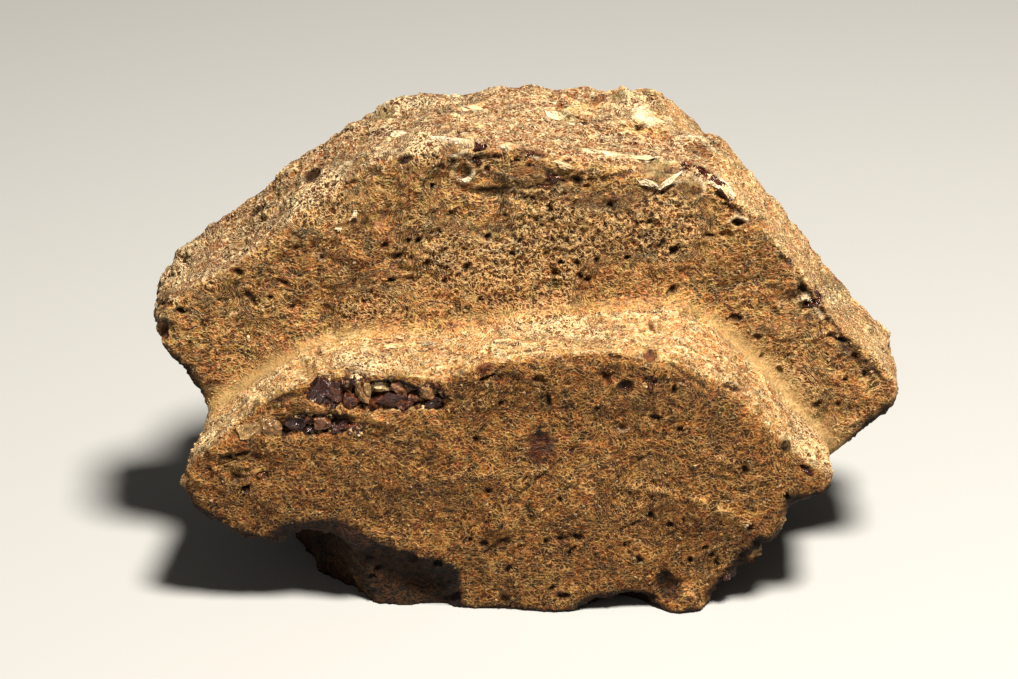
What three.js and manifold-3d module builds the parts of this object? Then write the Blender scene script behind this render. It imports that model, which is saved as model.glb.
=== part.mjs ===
// Bastnasite: flat six-sided crystals grown together in parallel, standing on their broken foot.
// Millimetres, +Z up. X runs along the width, and Y runs back from the small front crystal
// through the wide middle crystal to the rear one. All of it is one piece.
import * as THREE from "three";
import { LoftGeometry } from "three/addons/geometries/LoftGeometry.js";
import { ImprovedNoise } from "three/addons/math/ImprovedNoise.js";
import { TessellateModifier } from "three/addons/modifiers/TessellateModifier.js";
import { mergeVertices } from "three/addons/utils/BufferGeometryUtils.js";
import Module from "manifold-3d";

// Depths along Y at which one crystal ends and the next begins.
const FRONT_FACE = 0.3;
const LEDGE_BACK = 10.5;
const MIDDLE_BACK = 20.6;
const REAR_BACK = 27.8;
const TERRACE_BACK = 30.2;

const BURIED = 1.5; // how far a crystal reaches into the next one
const BELOW_FLOOR = -4; // outlines run down past the floor, where they are cut off level
const FLOOR = 0;
const CORNER_FILL = 1.5; // size of the powdery fill in the corner above the ledge

const FACE_STEP = 4.5; // longest triangle edge before the faces are roughened
const CAP_RINGS = [0.3, 0.6, 0.85]; // rings that divide a crystal's flat ends, as scales
const CAP_SWELL = 0.15; // how far the middle of a flat end stands out
const ROUGHNESS = [
  { wave: 15, height: 0.6 }, // slow swell of a face
  { wave: 6.5, height: 0.5 }, // lumps and dents
];
const LUMP_ROUGHNESS = 0.25; // of a lump's smallest half size

// ---- outlines, clockwise from the left tip as seen from the front, as [x, z] ----

// The front crystal, at its front face and where the middle crystal begins.
const frontFace = [
  [-33.2, 14.0], [-32.2, 17.2], [-27.6, 21.0], [-23.2, 24.2], [-17.6, 26.1], [-8.6, 25.6],
  [1.2, 27.8], [9.2, 28.7], [14.4, 27.9], [18.6, 25.7], [21.9, 23.1], [25.9, 18.1], [29.6, 14.9],
  [29.8, 13.1], [25.6, 11.3], [24.8, 8.0], [22.2, 5.6], [20.6, 3.2], [18.7, 1.0], [17.2, BELOW_FLOOR],
  [-20.0, BELOW_FLOOR], [-22.0, 3.6], [-25.0, 7.4], [-28.6, 8.7], [-32.2, 11.6],
];
const frontBack = [
  [-32.0, 13.2], [-31.0, 16.4], [-26.3, 20.3], [-21.0, 23.9], [-17.6, 25.2], [-6.4, 25.9],
  [3.4, 27.4], [10.6, 28.3], [15.2, 28.5], [19.2, 26.2], [23.3, 21.9], [27.0, 17.2], [30.4, 13.8],
  [30.0, 11.9], [26.6, 10.4], [24.8, 7.6], [22.4, 5.2], [21.4, 3.2], [20.4, 1.0], [19.4, BELOW_FLOOR],
  [-19.4, BELOW_FLOOR], [-21.4, 1.6], [-24.0, 6.2], [-27.6, 8.4], [-31.0, 11.2],
];

// The middle crystal, at its front face and where the rear crystal begins.
const middleFace = [
  [-36.0, 25.0], [-35.5, 27.6], [-32.3, 30.5], [-27.4, 33.0], [-21.7, 38.2], [-15.2, 42.9],
  [-8.0, 45.4], [-0.5, 45.1], [7.1, 43.4], [13.5, 42.2], [18.8, 41.2], [23.0, 37.6], [26.6, 32.4],
  [32.1, 24.5], [36.8, 19.9], [37.2, 18.2], [34.9, 15.2], [31.8, 11.8], [17.0, BELOW_FLOOR],
  [-19.6, BELOW_FLOOR], [-30.9, 16.4], [-33.1, 21.0],
];
const middleBack = [
  [-36.9, 24.0], [-36.4, 27.4], [-34.4, 30.7], [-29.2, 34.9], [-23.0, 40.2], [-17.0, 44.0],
  [-8.6, 45.0], [0.0, 45.1], [8.0, 44.4], [13.9, 43.6], [20.0, 43.0], [24.4, 37.6], [27.6, 32.0],
  [33.0, 25.0], [37.1, 20.3], [37.5, 17.6], [34.4, 13.0], [29.0, 8.0], [17.0, BELOW_FLOOR],
  [-19.6, BELOW_FLOOR], [-30.0, 12.4], [-34.6, 18.4],
];

// The rear crystal is a little smaller, and carries one more low growth terrace.
const rearOutline = [
  [-31.4, 19.6], [-31.0, 25.6], [-27.4, 32.0], [-21.6, 38.2], [-17.2, 41.8], [-13.6, 43.8],
  [-7.0, 44.4], [1.0, 45.1], [7.6, 44.6], [13.4, 44.6], [17.6, 41.9], [21.8, 35.4], [25.6, 29.8],
  [30.2, 23.4], [32.6, 18.0], [30.2, 11.8], [24.0, 4.8], [17.6, BELOW_FLOOR],
  [-17.8, BELOW_FLOOR], [-25.4, 8.0],
];
const terraceOutline = [
  [-21.0, 13.6], [-17.4, 28.4], [-8.6, 36.8], [7.6, 38.2], [17.2, 29.0], [21.4, 17.6],
  [16.6, 6.4], [13.4, BELOW_FLOOR], [-14.2, BELOW_FLOOR], [-18.4, 4.6],
];

// ---- crystals, each a loft through sections across Y ----
// inset pulls a section's points in towards MIDDLE: an edge's bevel, or a growth step.
const MIDDLE = new THREE.Vector2(0, 14);

const crystals = {
  front: [
    { y: FRONT_FACE, outline: frontFace, inset: 0.8 },
    { y: FRONT_FACE + 0.8, outline: frontFace, inset: 0 },
    { y: LEDGE_BACK - CORNER_FILL, outline: frontBack, inset: -0.1 },
    { y: LEDGE_BACK + BURIED, outline: frontBack, inset: -0.1 },
  ],
  middle: [
    { y: LEDGE_BACK, outline: middleFace, inset: 0.5 },
    { y: LEDGE_BACK + 0.7, outline: middleFace, inset: -0.1 },
    { y: LEDGE_BACK + 5.6, outline: middleFace, inset: -0.4 },
    { y: LEDGE_BACK + 6.1, outline: middleFace, inset: 0.2 },
    { y: MIDDLE_BACK - 0.6, outline: middleBack, inset: 0 },
    { y: MIDDLE_BACK, outline: middleBack, inset: 0.6 },
  ],
  rear: [
    { y: MIDDLE_BACK - BURIED, outline: rearOutline, inset: 0.2 },
    { y: REAR_BACK - 0.8, outline: rearOutline, inset: 0 },
    { y: REAR_BACK, outline: rearOutline, inset: 1.1 },
  ],
  terrace: [
    { y: REAR_BACK - BURIED, outline: terraceOutline, inset: 0 },
    { y: TERRACE_BACK - 0.6, outline: terraceOutline, inset: 0.3 },
    { y: TERRACE_BACK, outline: terraceOutline, inset: 1.2 },
  ],
};

// The fill of the corner: the ledge's line, swelling up the middle crystal's face.
const ledgeLine = [
  [-29.6, 17.0], [-26.3, 19.6], [-20.4, 23.3], [-17.4, 24.6], [-6.4, 25.3], [3.4, 26.8],
  [10.6, 27.8], [14.8, 28.1], [18.4, 25.8], [22.4, 21.6], [26.0, 16.9], [29.0, 13.6],
  [27.0, 9.0], [-26.0, 12.0],
];
crystals.corner = [
  { y: LEDGE_BACK - CORNER_FILL, outline: ledgeLine, inset: 0.2 },
  { y: LEDGE_BACK - 0.4 * CORNER_FILL, outline: ledgeLine, inset: -1.5 },
  { y: LEDGE_BACK + 0.4, outline: ledgeLine, inset: -1 - CORNER_FILL },
];

// ---- breaks: rough hollows and knobs ----
// at = middle, size = half sizes before it is turned, turn = degrees about X, Y and Z.
const hollows = [
  // front crystal
  { at: [-20.4, 1.2, 0.6], size: [4.4, 14.0, 8.6], turn: [0, 0, 39] }, // cove at the lower left
  { at: [-12.4, -0.2, 2.8], size: [6.4, 2.5, 4.0], turn: [0, 22, 0] },
  { at: [-13.8, -0.2, 23.6], size: [7.2, 2.0, 1.7], turn: [0, 3, 0] }, // pocket under the edge
  { at: [-19.4, -0.1, 20.9], size: [5.0, 1.3, 0.9], turn: [0, -6, 0] },
  { at: [-27.4, 0.0, 16.6], size: [3.6, 1.5, 1.3], turn: [0, -10, 0] },
  { at: [9.6, -0.3, 26.3], size: [2.8, 1.4, 1.2], turn: [0, 5, 0] },
  { at: [9.9, -0.8, -0.9], size: [4.9, 4.0, 2.8], turn: [0, 0, 0] }, // notch in the foot
  { at: [26.6, -0.2, 11.6], size: [1.6, 1.4, 1.2], turn: [0, 40, 0] },
  // middle crystal
  { at: [-3.8, 10.2, 42.0], size: [4.6, 1.5, 1.6], turn: [0, 4, 0] }, // vugs under the top edge
  { at: [14.0, 10.2, 40.4], size: [3.6, 1.5, 1.0], turn: [0, 8, 0] },
  { at: [27.4, 10.2, 28.6], size: [2.8, 1.4, 1.5], turn: [0, 50, 0] },
  { at: [33.4, 10.3, 21.2], size: [3.4, 1.5, 1.4], turn: [0, 45, 0] },
  { at: [-36.0, 10.6, 26.0], size: [1.8, 1.5, 1.2], turn: [0, 0, 0] },
  { at: [7.4, 22.0, 46.0], size: [3.6, 2.2, 1.9], turn: [0, 0, 10] }, // pits in the top
  { at: [13.2, 21.6, 45.2], size: [3.0, 2.6, 1.7], turn: [0, 20, 0] },
  { at: [-14.6, 20.8, 45.6], size: [2.6, 3.2, 1.9], turn: [0, -25, 20] },
  { at: [-26.0, 17.2, 38.2], size: [3.4, 2.2, 1.2], turn: [0, -40, 0] },
  { at: [30.4, 15.6, 28.6], size: [4.2, 2.0, 0.9], turn: [0, 48, 0] },
  { at: [-34.8, 16.0, 19.0], size: [2.2, 3.4, 2.4], turn: [0, 20, 0] },
  // rear crystal and its terrace
  { at: [-24.0, 28.4, 22.0], size: [5.0, 2.0, 7.0], turn: [0, 20, 0] },
  { at: [10.0, 30.8, 22.0], size: [8.0, 1.3, 3.4], turn: [0, -35, 0] },
  { at: [25.0, 28.2, 14.0], size: [4.0, 2.0, 7.0], turn: [0, 25, 0] },
  { at: [-7.0, 30.8, 35.4], size: [6.4, 1.8, 2.6], turn: [0, -20, 0] },
  { at: [-10.0, 31.0, 8.0], size: [5.4, 1.4, 3.2], turn: [0, 60, 0] },
];

const knobs = [
  { at: [16.0, 0.9, 0.6], size: [2.4, 1.7, 2.2], turn: [0, 0, 0] }, // toe at the foot's right
  { at: [22.3, 4.0, 4.8], size: [1.8, 2.2, 1.7], turn: [0, 0, 0] },
  { at: [-29.4, 1.2, 15.0], size: [2.6, 1.5, 2.0], turn: [0, 20, 0] },
  { at: [-21.0, 26.6, 33.4], size: [3.8, 2.4, 3.0], turn: [0, 40, 0] },
  { at: [4.0, 29.6, 29.0], size: [6.0, 1.6, 4.4], turn: [0, -20, 0] },
];

// ---- helpers ----

const wasm = await Module();
wasm.setup();

// A closed three.js geometry as a manifold-3d solid.
function solidOf(geometry) {
  for (const name of ["normal", "uv"]) geometry.deleteAttribute(name);
  const merged = mergeVertices(geometry, 1e-4);
  const mesh = new wasm.Mesh({
    numProp: 3,
    vertProperties: merged.attributes.position.array,
    triVerts: new Uint32Array(merged.index.array),
  });
  return new wasm.Manifold(mesh);
}

// The way back, with three properties a vertex: its position.
function geometryOf(solid) {
  const mesh = solid.getMesh();
  const geometry = new THREE.BufferGeometry();
  geometry.setAttribute("position", new THREE.BufferAttribute(mesh.vertProperties, 3));
  geometry.setIndex(new THREE.BufferAttribute(mesh.triVerts, 1));
  return geometry;
}

function join(solids) {
  return solids.reduce((whole, solid) => whole.add(solid));
}

// A section's points, pulled in by its inset. An end's inner rings are scaled towards MIDDLE,
// and stand out the further in they are.
function ring({ y, outline, inset }, scale = 1, outwards = 0) {
  return outline.map(([x, z]) => {
    const point = new THREE.Vector2(x, z).sub(MIDDLE);
    point.setLength(point.length() - inset).multiplyScalar(scale).add(MIDDLE);
    return new THREE.Vector3(point.x, y + outwards * (1 - scale) * CAP_SWELL, point.y);
  });
}

// One crystal: its sections lofted, with rings of points across its flat ends.
function crystal(sections) {
  const first = CAP_RINGS.map((scale) => ring(sections[0], scale, -1));
  const last = CAP_RINGS.map((scale) => ring(sections.at(-1), scale, 1)).reverse();
  const between = sections.map((section) => ring(section));
  const loft = new LoftGeometry([...first, ...between, ...last], { capStart: true, capEnd: true });
  return new THREE.BufferGeometry().copy(loft);
}

const noise = new ImprovedNoise();

// Moves every vertex by a smooth random vector, so that flat faces turn into rough ones.
function roughen(geometry, layers) {
  const position = geometry.attributes.position;
  for (let i = 0; i < position.count; i++) {
    const point = new THREE.Vector3().fromBufferAttribute(position, i);
    const shift = new THREE.Vector3();
    for (const { wave, height } of layers) {
      const at = point.clone().divideScalar(wave);
      shift.x += height * noise.noise(at.x + 31.4, at.y, at.z);
      shift.y += height * noise.noise(at.x, at.y + 47.2, at.z);
      shift.z += height * noise.noise(at.x, at.y, at.z + 12.7);
    }
    point.add(shift);
    position.setXYZ(i, point.x, point.y, point.z);
  }
  return geometry;
}

// A rough lump, which is joined on as a knob or cut away as a hollow.
function lump({ at, size, turn }) {
  const smallest = Math.min(...size);
  const largest = Math.max(...size);
  const geometry = new THREE.IcosahedronGeometry(1, largest > 6 ? 3 : 2);
  geometry.scale(...size);
  geometry.rotateX(THREE.MathUtils.degToRad(turn[0]));
  geometry.rotateY(THREE.MathUtils.degToRad(turn[1]));
  geometry.rotateZ(THREE.MathUtils.degToRad(turn[2]));
  geometry.translate(...at);
  const broken = [
    { wave: 0.8 * largest, height: 1.6 * LUMP_ROUGHNESS * smallest },
    { wave: 0.37 * largest, height: LUMP_ROUGHNESS * smallest },
  ];
  return solidOf(roughen(geometry, broken));
}

// Everything below the floor, as one block.
function ground() {
  const depth = 20;
  const geometry = new THREE.BoxGeometry(200, 200, depth);
  geometry.translate(0, 0, FLOOR - depth / 2);
  return solidOf(geometry);
}

// ---- the object ----

function crystalGroup() {
  const grown = join(Object.values(crystals).map((sections) => solidOf(crystal(sections))));
  const fine = new TessellateModifier(FACE_STEP, 16).modify(geometryOf(grown));
  let solid = solidOf(roughen(fine, ROUGHNESS));
  solid = solid.add(join(knobs.map(lump)));
  solid = solid.subtract(join(hollows.map(lump)));
  solid = solid.subtract(ground());
  const pieces = solid.decompose();
  pieces.sort((a, b) => b.volume() - a.volume());
  const geometry = geometryOf(pieces[0]);
  geometry.computeBoundingBox();
  const middle = geometry.boundingBox.getCenter(new THREE.Vector3());
  geometry.translate(-middle.x, -middle.y, 0);
  return geometry;
}

const tanStone = new THREE.MeshStandardMaterial({ color: 0xb58a55, roughness: 0.85, metalness: 0 });
const crystalMesh = new THREE.Mesh(crystalGroup(), tanStone);
crystalMesh.name = "crystals";

const bastnasite = new THREE.Group();
bastnasite.add(crystalMesh);

export default bastnasite;
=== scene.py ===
import itertools
import math

import bmesh
import bpy
import numpy as np
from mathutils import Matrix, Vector
from mathutils.bvhtree import BVHTree


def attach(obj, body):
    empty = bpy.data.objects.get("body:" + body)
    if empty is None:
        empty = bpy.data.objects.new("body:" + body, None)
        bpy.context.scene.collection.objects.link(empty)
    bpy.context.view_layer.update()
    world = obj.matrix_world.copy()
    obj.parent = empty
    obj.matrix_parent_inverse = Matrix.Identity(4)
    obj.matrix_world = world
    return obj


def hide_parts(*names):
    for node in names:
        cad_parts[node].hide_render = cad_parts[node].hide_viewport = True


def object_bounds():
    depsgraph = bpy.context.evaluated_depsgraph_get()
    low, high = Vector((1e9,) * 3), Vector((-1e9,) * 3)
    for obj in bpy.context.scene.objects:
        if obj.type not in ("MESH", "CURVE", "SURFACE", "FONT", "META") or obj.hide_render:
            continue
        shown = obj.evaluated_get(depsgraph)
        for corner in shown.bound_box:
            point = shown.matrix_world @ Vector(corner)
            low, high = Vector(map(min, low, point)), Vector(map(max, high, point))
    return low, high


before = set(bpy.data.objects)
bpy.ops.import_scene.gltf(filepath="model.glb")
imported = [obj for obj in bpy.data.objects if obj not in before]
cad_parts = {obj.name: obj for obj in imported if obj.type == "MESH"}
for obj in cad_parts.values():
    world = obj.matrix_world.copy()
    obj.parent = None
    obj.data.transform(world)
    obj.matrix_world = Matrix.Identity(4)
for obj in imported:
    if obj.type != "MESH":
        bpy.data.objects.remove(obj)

# Bastnasite: flat six-sided crystals grown together in parallel, under a rough crust of tan scales.
# The sculpting below is done in millimetres, and scaled to metres when a mesh is made.

mm = 0.001
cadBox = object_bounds()
boxLow, boxHigh = np.array(cadBox[0]) / mm, np.array(cadBox[1]) / mm
print("frame loaded:", [round(v / mm, 2) for v in (*cadBox[0], *cadBox[1])])

camera = {
    "lens": 110.0,
    "sensorWidth": 36.0,
    "clip": (0.01, 20),  # metres
    "lookDown": 27.0,  # degrees below level
    "distance": 311.0,  # mm from the aim point
    "aim": (-1.6, -0.7, 22.8),  # mm
    "framePixels": (1018, 679),
}
lookAngle = math.radians(camera["lookDown"])
viewForward = np.array([0.0, math.cos(lookAngle), -math.sin(lookAngle)])
viewUp = np.array([0.0, math.sin(lookAngle), math.cos(lookAngle)])
viewRight = np.array([1.0, 0.0, 0.0])
eye = np.array(camera["aim"]) - camera["distance"] * viewForward


def pixelDirection(px, py):
    across, down = camera["framePixels"]
    perPixel = camera["sensorWidth"] / camera["lens"] / across
    ray = viewForward + viewRight * (px - across / 2) * perPixel - viewUp * (py - down / 2) * perPixel
    return ray / np.linalg.norm(ray)


def pixelPlaces(places):
    # where points fall in the camera's frame, in pixels
    away = places - eye
    depth = away @ viewForward * camera["sensorWidth"] / camera["lens"] / camera["framePixels"][0]
    return (camera["framePixels"][0] / 2 + away @ viewRight / depth,
            camera["framePixels"][1] / 2 - away @ viewUp / depth)


def addObject(name, data):
    item = bpy.data.objects.new(name, data)
    bpy.context.collection.objects.link(item)
    return item


def addCamera():
    data = bpy.data.cameras.new("specimenCamera")
    data.lens, data.sensor_width = camera["lens"], camera["sensorWidth"]
    data.clip_start, data.clip_end = camera["clip"]
    item = addObject("specimenCamera", data)
    item.location = Vector(eye) * mm
    item.rotation_euler = (math.radians(90) - lookAngle, 0, 0)
    bpy.context.scene.camera = item


addCamera()


def shuffle(seed):
    # random numbers, and a table that gives each cell of a grid its own
    rng = np.random.default_rng(seed)
    return rng, np.tile(rng.permutation(256), 3)


def pickCell(table, cell):
    x, y, z = (cell & 255).T
    return table[table[table[x] + y] + z]


def unit(vectors):
    return vectors / np.maximum(np.linalg.norm(vectors, axis=1, keepdims=True), 1e-12)


def gradientNoise(points, seed):
    # smooth random field, about -1 to 1, one lump per unit
    rng, table = shuffle(seed)
    slopes = unit(rng.normal(size=(256, 3)))
    cell = np.floor(points).astype(int)
    part = points - cell
    ease = part ** 3 * (part * (part * 6 - 15) + 10)
    total = np.zeros(len(points))
    for corner in itertools.product((0, 1), repeat=3):
        share = np.where(corner, ease, 1 - ease).prod(1)
        total += share * (slopes[pickCell(table, cell + corner)] * (part - corner)).sum(1)
    return total * 1.6


def noiseVector(points, seed):
    return np.stack([gradientNoise(points, seed + k) for k in range(3)], 1)


def nearestCell(points, seed):
    # distance to the nearest and second nearest of scattered seeds, one per unit cube, the nearest
    # one's number, 0 to 255, and the way to it
    rng, table = shuffle(seed)
    scatter = rng.random((256, 3))
    cell = np.floor(points).astype(int)
    first, second = np.full((2, len(points)), 9.0)
    name = np.zeros(len(points), dtype=int)
    away = np.zeros_like(points)
    for step in itertools.product((-1, 0, 1), repeat=3):
        pick = pickCell(table, cell + step)
        offset = cell + step + scatter[pick] - points
        far = np.linalg.norm(offset, axis=1)
        closer = far < first
        second = np.where(closer, first, np.minimum(second, far))
        name = np.where(closer, pick, name)
        away[closer] = offset[closer]
        first = np.where(closer, far, first)
    return first, second, name, away


def blendStep(low, high, value):
    part = np.clip((value - low) / (high - low), 0, 1)  # low may be above high
    return part * part * (3 - 2 * part)


def turned(right, up, degrees):
    cos, sin = math.cos(math.radians(degrees)), math.sin(math.radians(degrees))
    return right * cos + up * sin, up * cos - right * sin


def ellipseDistance(right, up, wide, high, turn):
    # 0 at the middle of a turned ellipse, 1 at its rim
    right, up = turned(right, up, turn)
    return np.hypot(right / wide, up / high)


def readNumbers(items, key, width, kind=float):
    numbers = np.empty(len(items) * width, dtype=kind)
    items.foreach_get(key, numbers)
    return numbers.reshape(-1, width)


def meshParts(mesh):
    # its points in mm, its edges and its triangles
    mesh.calc_loop_triangles()
    return (readNumbers(mesh.vertices, "co", 3) / mm, readNumbers(mesh.edges, "vertices", 2, np.int64),
            readNumbers(mesh.loop_triangles, "vertices", 3, np.int64))


def triangleNormals(points, triangles):
    # not unit length: as long as twice the triangle's area
    a, b, c = (points[triangles[:, k]] for k in range(3))
    return np.cross(b - a, c - a)


def pointNormals(points, triangles):
    faceNormals = triangleNormals(points, triangles)
    normals = np.zeros_like(points)
    for k, axis in itertools.product(range(3), repeat=2):
        normals[:, axis] += np.bincount(triangles[:, k], faceNormals[:, axis], len(points))
    return unit(normals)


def relax(values, edges, rounds, share=0.5):
    # moves each point's value towards the mean of its neighbours
    count = np.maximum(np.bincount(edges.ravel(), minlength=len(values)), 1)
    flat = values.reshape(len(values), -1).copy()
    for _ in range(rounds):
        for column in range(flat.shape[1]):
            total = np.bincount(edges[:, 0], flat[edges[:, 1], column], len(flat))
            total += np.bincount(edges[:, 1], flat[edges[:, 0], column], len(flat))
            flat[:, column] += share * (total / count - flat[:, column])
    return flat.reshape(values.shape)


def makeMesh(name, points, triangles):
    mesh = bpy.data.meshes.new(name)
    mesh.vertices.add(len(points))
    mesh.vertices.foreach_set("co", (points * mm).astype(np.float32).ravel())
    mesh.loops.add(triangles.size)
    mesh.loops.foreach_set("vertex_index", triangles.astype(np.int32).ravel())
    mesh.polygons.add(len(triangles))
    size = triangles.shape[1]
    mesh.polygons.foreach_set("loop_start", np.arange(0, triangles.size, size, dtype=np.int32))
    mesh.update(calc_edges=True)
    mesh.validate()
    mesh.shade_flat()
    return mesh


def voxelRemesh(mesh, size):
    work = addObject("remeshWork", mesh)
    remesh = work.modifiers.new("remesh", "REMESH")
    remesh.mode = "VOXEL"
    remesh.voxel_size = size * mm
    graph = bpy.context.evaluated_depsgraph_get()
    result = bpy.data.meshes.new_from_object(work.evaluated_get(graph))
    bpy.data.objects.remove(work)
    return result


def storeMask(mesh, name, values):
    layer = mesh.attributes.new(name, "FLOAT", "POINT")
    layer.data.foreach_set("value", values.astype(np.float32))


def surfaceTree(points, triangles):
    return BVHTree.FromPolygons(points.tolist(), triangles.tolist())


def castPixel(tree, px, py):
    # the point of a surface that this pixel shows, or None past its edge
    spot = tree.ray_cast(Vector(eye), Vector(pixelDirection(px, py)))[0]
    return None if spot is None else np.array(spot)


# The stone: the CAD solid in a fine mesh, pushed in and out along its own smooth normals.
stone = {
    "coarseVoxel": 0.45,  # mm, for easing the CAD facets
    "fineVoxel": 0.2,
    "facetSoftening": 3,
    "swell": (7.5, 0.20),  # lump size and height, mm
    "lumps": (2.7, 0.20),
    "knots": (1.3, 0.12),
    "layers": ((0.75, 0.20), (1.9, 0.26)),  # mm across the layers on the prism faces, height
    "chips": ((2.2, 0.14), (1.1, 0.07)),
    "worms": (0.85, 0.09),
    "walls": (0.8, 0.20),  # a honeycomb of thin walls
    "grit": (0.45, 0.07),
    "pores": (0.9, 0.22),  # spacing, depth
    "cavityRange": 0.42,
}

coarse = voxelRemesh(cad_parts["crystals"].data.copy(), stone["coarseVoxel"])
coarsePoints, coarseEdges, coarseTriangles = meshParts(coarse)
onFoot = coarsePoints[:, 2] < 0.3
coarsePoints = relax(coarsePoints, coarseEdges, stone["facetSoftening"])
coarsePoints[onFoot, 2] = 0
coarseTree = surfaceTree(coarsePoints, coarseTriangles)

# the solid's pockets that are shallower on the real crust: pixel, half sizes, turn, how much is filled.
# Each is moved back towards the level of the ring round it
fillings = [
    (482, 168, 60, 24, -3, 0.92), (664, 188, 46, 18, -8, 0.8), (806, 298, 40, 24, -50, 0.8),
    (862, 368, 46, 24, -45, 0.95), (238, 457, 48, 22, 8, 0.85), (618, 374, 40, 16, 0, 0.75),
]
pockets = {
    "ring": 1.1,  # how far out the level round a pocket is read, in its half sizes
    "ringPoints": 24,
    "level": 0.3,  # the share of the ring's points that lie in front of that level
    "deepest": 4.0,  # mm
}
coarseAcross, coarseDown = pixelPlaces(coarsePoints)
for px, py, wide, high, turn, share in fillings:
    ring = []
    for angle in np.linspace(0, 2 * math.pi, pockets["ringPoints"], endpoint=False):
        right = wide * pockets["ring"] * math.cos(angle)
        right, up = turned(right, high * pockets["ring"] * math.sin(angle), -turn)
        spot = castPixel(coarseTree, px + right, py - up)
        if spot is not None:
            ring.append(spot[1])
    far = ellipseDistance(coarseAcross - px, py - coarseDown, wide, high, turn)
    sunk = coarsePoints[:, 1] - np.quantile(ring, pockets["level"])
    inside = (1 - blendStep(0.75, 1.0, far)) * (sunk > 0) * (sunk < pockets["deepest"])
    coarsePoints[:, 1] -= share * inside * sunk
seatTree = surfaceTree(coarsePoints, coarseTriangles)
fine = voxelRemesh(makeMesh("softened", coarsePoints, coarseTriangles), stone["fineVoxel"])
points, edges, triangles = meshParts(fine)
points = relax(points, edges, 2)
flow = unit(relax(pointNormals(points, triangles), edges, 8))
foot = points[:, 2] < 0.12
pixelAcross, pixelDown = pixelPlaces(points)
print("stone remeshed:", len(points), "points,", len(triangles), "triangles")


def seatPixel(px, py):
    # the point of the surface that this pixel shows, or the nearest one past its edge
    spot = castPixel(seatTree, px, py)
    if spot is None:
        beside = eye + camera["distance"] * pixelDirection(px, py)
        spot = np.array(seatTree.find_nearest(Vector(beside))[0])
    return spot


def lineDistance(line):
    # from every point to a line of pixels laid on the stone, in mm, and how far along it, 0 to 1
    seats = [seatPixel(px, py) for px, py in line]
    best = np.full(len(points), 99.0)
    along = np.zeros(len(points))
    count = len(seats) - 1
    for index in range(count):
        start, step = seats[index], seats[index + 1] - seats[index]
        part = np.clip(((points - start) @ step) / max(step @ step, 1e-9), 0, 1)
        far = np.linalg.norm(points - start - part[:, None] * step, axis=1)
        along = np.where(far < best, (index + part) / count, along)
        best = np.minimum(best, far)
    return best, along


def segmentDistance(ax, ay, bx, by):
    # from every point to a stretch between two pixels, in pixels
    dx, dy = bx - ax, by - ay
    part = ((pixelAcross - ax) * dx + (pixelDown - ay) * dy) / max(dx ** 2 + dy ** 2, 1e-9)
    part = np.clip(part, 0, 1)
    return np.hypot(pixelAcross - ax - part * dx, pixelDown - ay - part * dy)


def insideOutline(outline, softness):
    # 1 inside an outline of pixels, 0 outside, over a soft rim softness pixels wide
    inside = np.zeros(len(points), dtype=bool)
    far = np.full(len(points), 999.0)
    for (ax, ay), (bx, by) in zip(outline, outline[1:] + outline[:1]):
        crosses = (ay > pixelDown) != (by > pixelDown)
        inside ^= crosses & (pixelAcross < ax + (pixelDown - ay) * (bx - ax) / (by - ay or 1e-9))
        far = np.minimum(far, segmentDistance(ax, ay, bx, by))
    return np.clip(0.5 + np.where(inside, far, -far) / softness, 0, 1)


def strokeDistance(line):
    # distance in pixels to a line of pixels, for the points that lie on the stone near it
    near = lineDistance(line)[0] < 2.5
    best = np.full(len(points), 999.0)
    for start, end in zip(line, line[1:]):
        best = np.minimum(best, segmentDistance(*start, *end))
    return np.where(near, best, 999.0)


def spotDistance(px, py, wide, high, turn=0):
    # 0 at the middle of an ellipse, 1 at its rim. Half sizes in pixels, turn in degrees
    far = ellipseDistance(pixelAcross - px, py - pixelDown, wide, high, turn)
    reach = 0.28 * max(wide, high) + 0.5  # mm; further off lie other faces, seen past this one
    return np.where(np.linalg.norm(points - seatPixel(px, py), axis=1) < reach, far, 99.0)


basal = blendStep(0.55, 0.85, np.abs(flow[:, 1]))
prism = 1 - basal
facing = blendStep(0.4, 0.8, -flow[:, 1])  # the flat faces towards the front
frontFace = facing * blendStep(-3.5, -6.5, points[:, 1])
# painted shade: faces turned down get a dark tone, as does the cove below
underShade = blendStep(0.1, -0.45, flow[:, 2])

# the cove under the front crystal's left half gets painted shade: a dark tone where its overhang shades it
coveShadeOutline = [
    (266, 530), (290, 518), (335, 516), (358, 526), (382, 543), (404, 554), (432, 556), (460, 568),
    (466, 612), (380, 625), (300, 580),
]
coveShade = insideOutline(coveShadeOutline, 8) * (points[:, 1] < 0)
# its lower shelf gets slightly less of the painted shade
coveShadeShelf = [
    (300, 545), (330, 552), (370, 562), (410, 575), (440, 585), (455, 620), (380, 625), (290, 600),
]
coveShade *= 1 - 0.06 * insideOutline(coveShadeShelf, 10)
underShade = np.maximum(underShade, coveShade)

# fine sand lies in the inner corner between the front crystal's ledge and the middle crystal; its darker tone
# is partly painted shade of that corner
cornerLine = [
    (215, 405), (270, 368), (345, 335), (440, 320), (540, 310), (625, 302), (680, 302), (720, 325),
    (760, 362), (795, 405), (830, 447),
]
cornerFar, cornerAlong = lineDistance(cornerLine)
cornerStops = [0, 0.16, 0.22, 0.6, 0.75, 1]
cornerWidth = np.interp(cornerAlong, cornerStops, [1.3, 1.1, 0.5, 0.5, 1.4, 2.0])
cornerDepth = np.interp(cornerAlong, cornerStops, [1, 1, 0.45, 0.45, 1, 1])
powderAndShade = np.exp(-(cornerFar / cornerWidth) ** 2) * cornerDepth
dust = np.exp(-(cornerFar / 4.0) ** 2) * facing
# painted light: prism faces behind the front crystal that turn right, towards the key light, are tinted paler
# and smoothed
litRightSide = prism * blendStep(0.3, 0.6, flow[:, 0]) * blendStep(-5, -3.5, points[:, 1])
calm = (1 - 0.75 * powderAndShade) * (1 - 0.5 * dust) * (1 - 0.4 * litRightSide) * (1 - 0.25 * frontFace)

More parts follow.
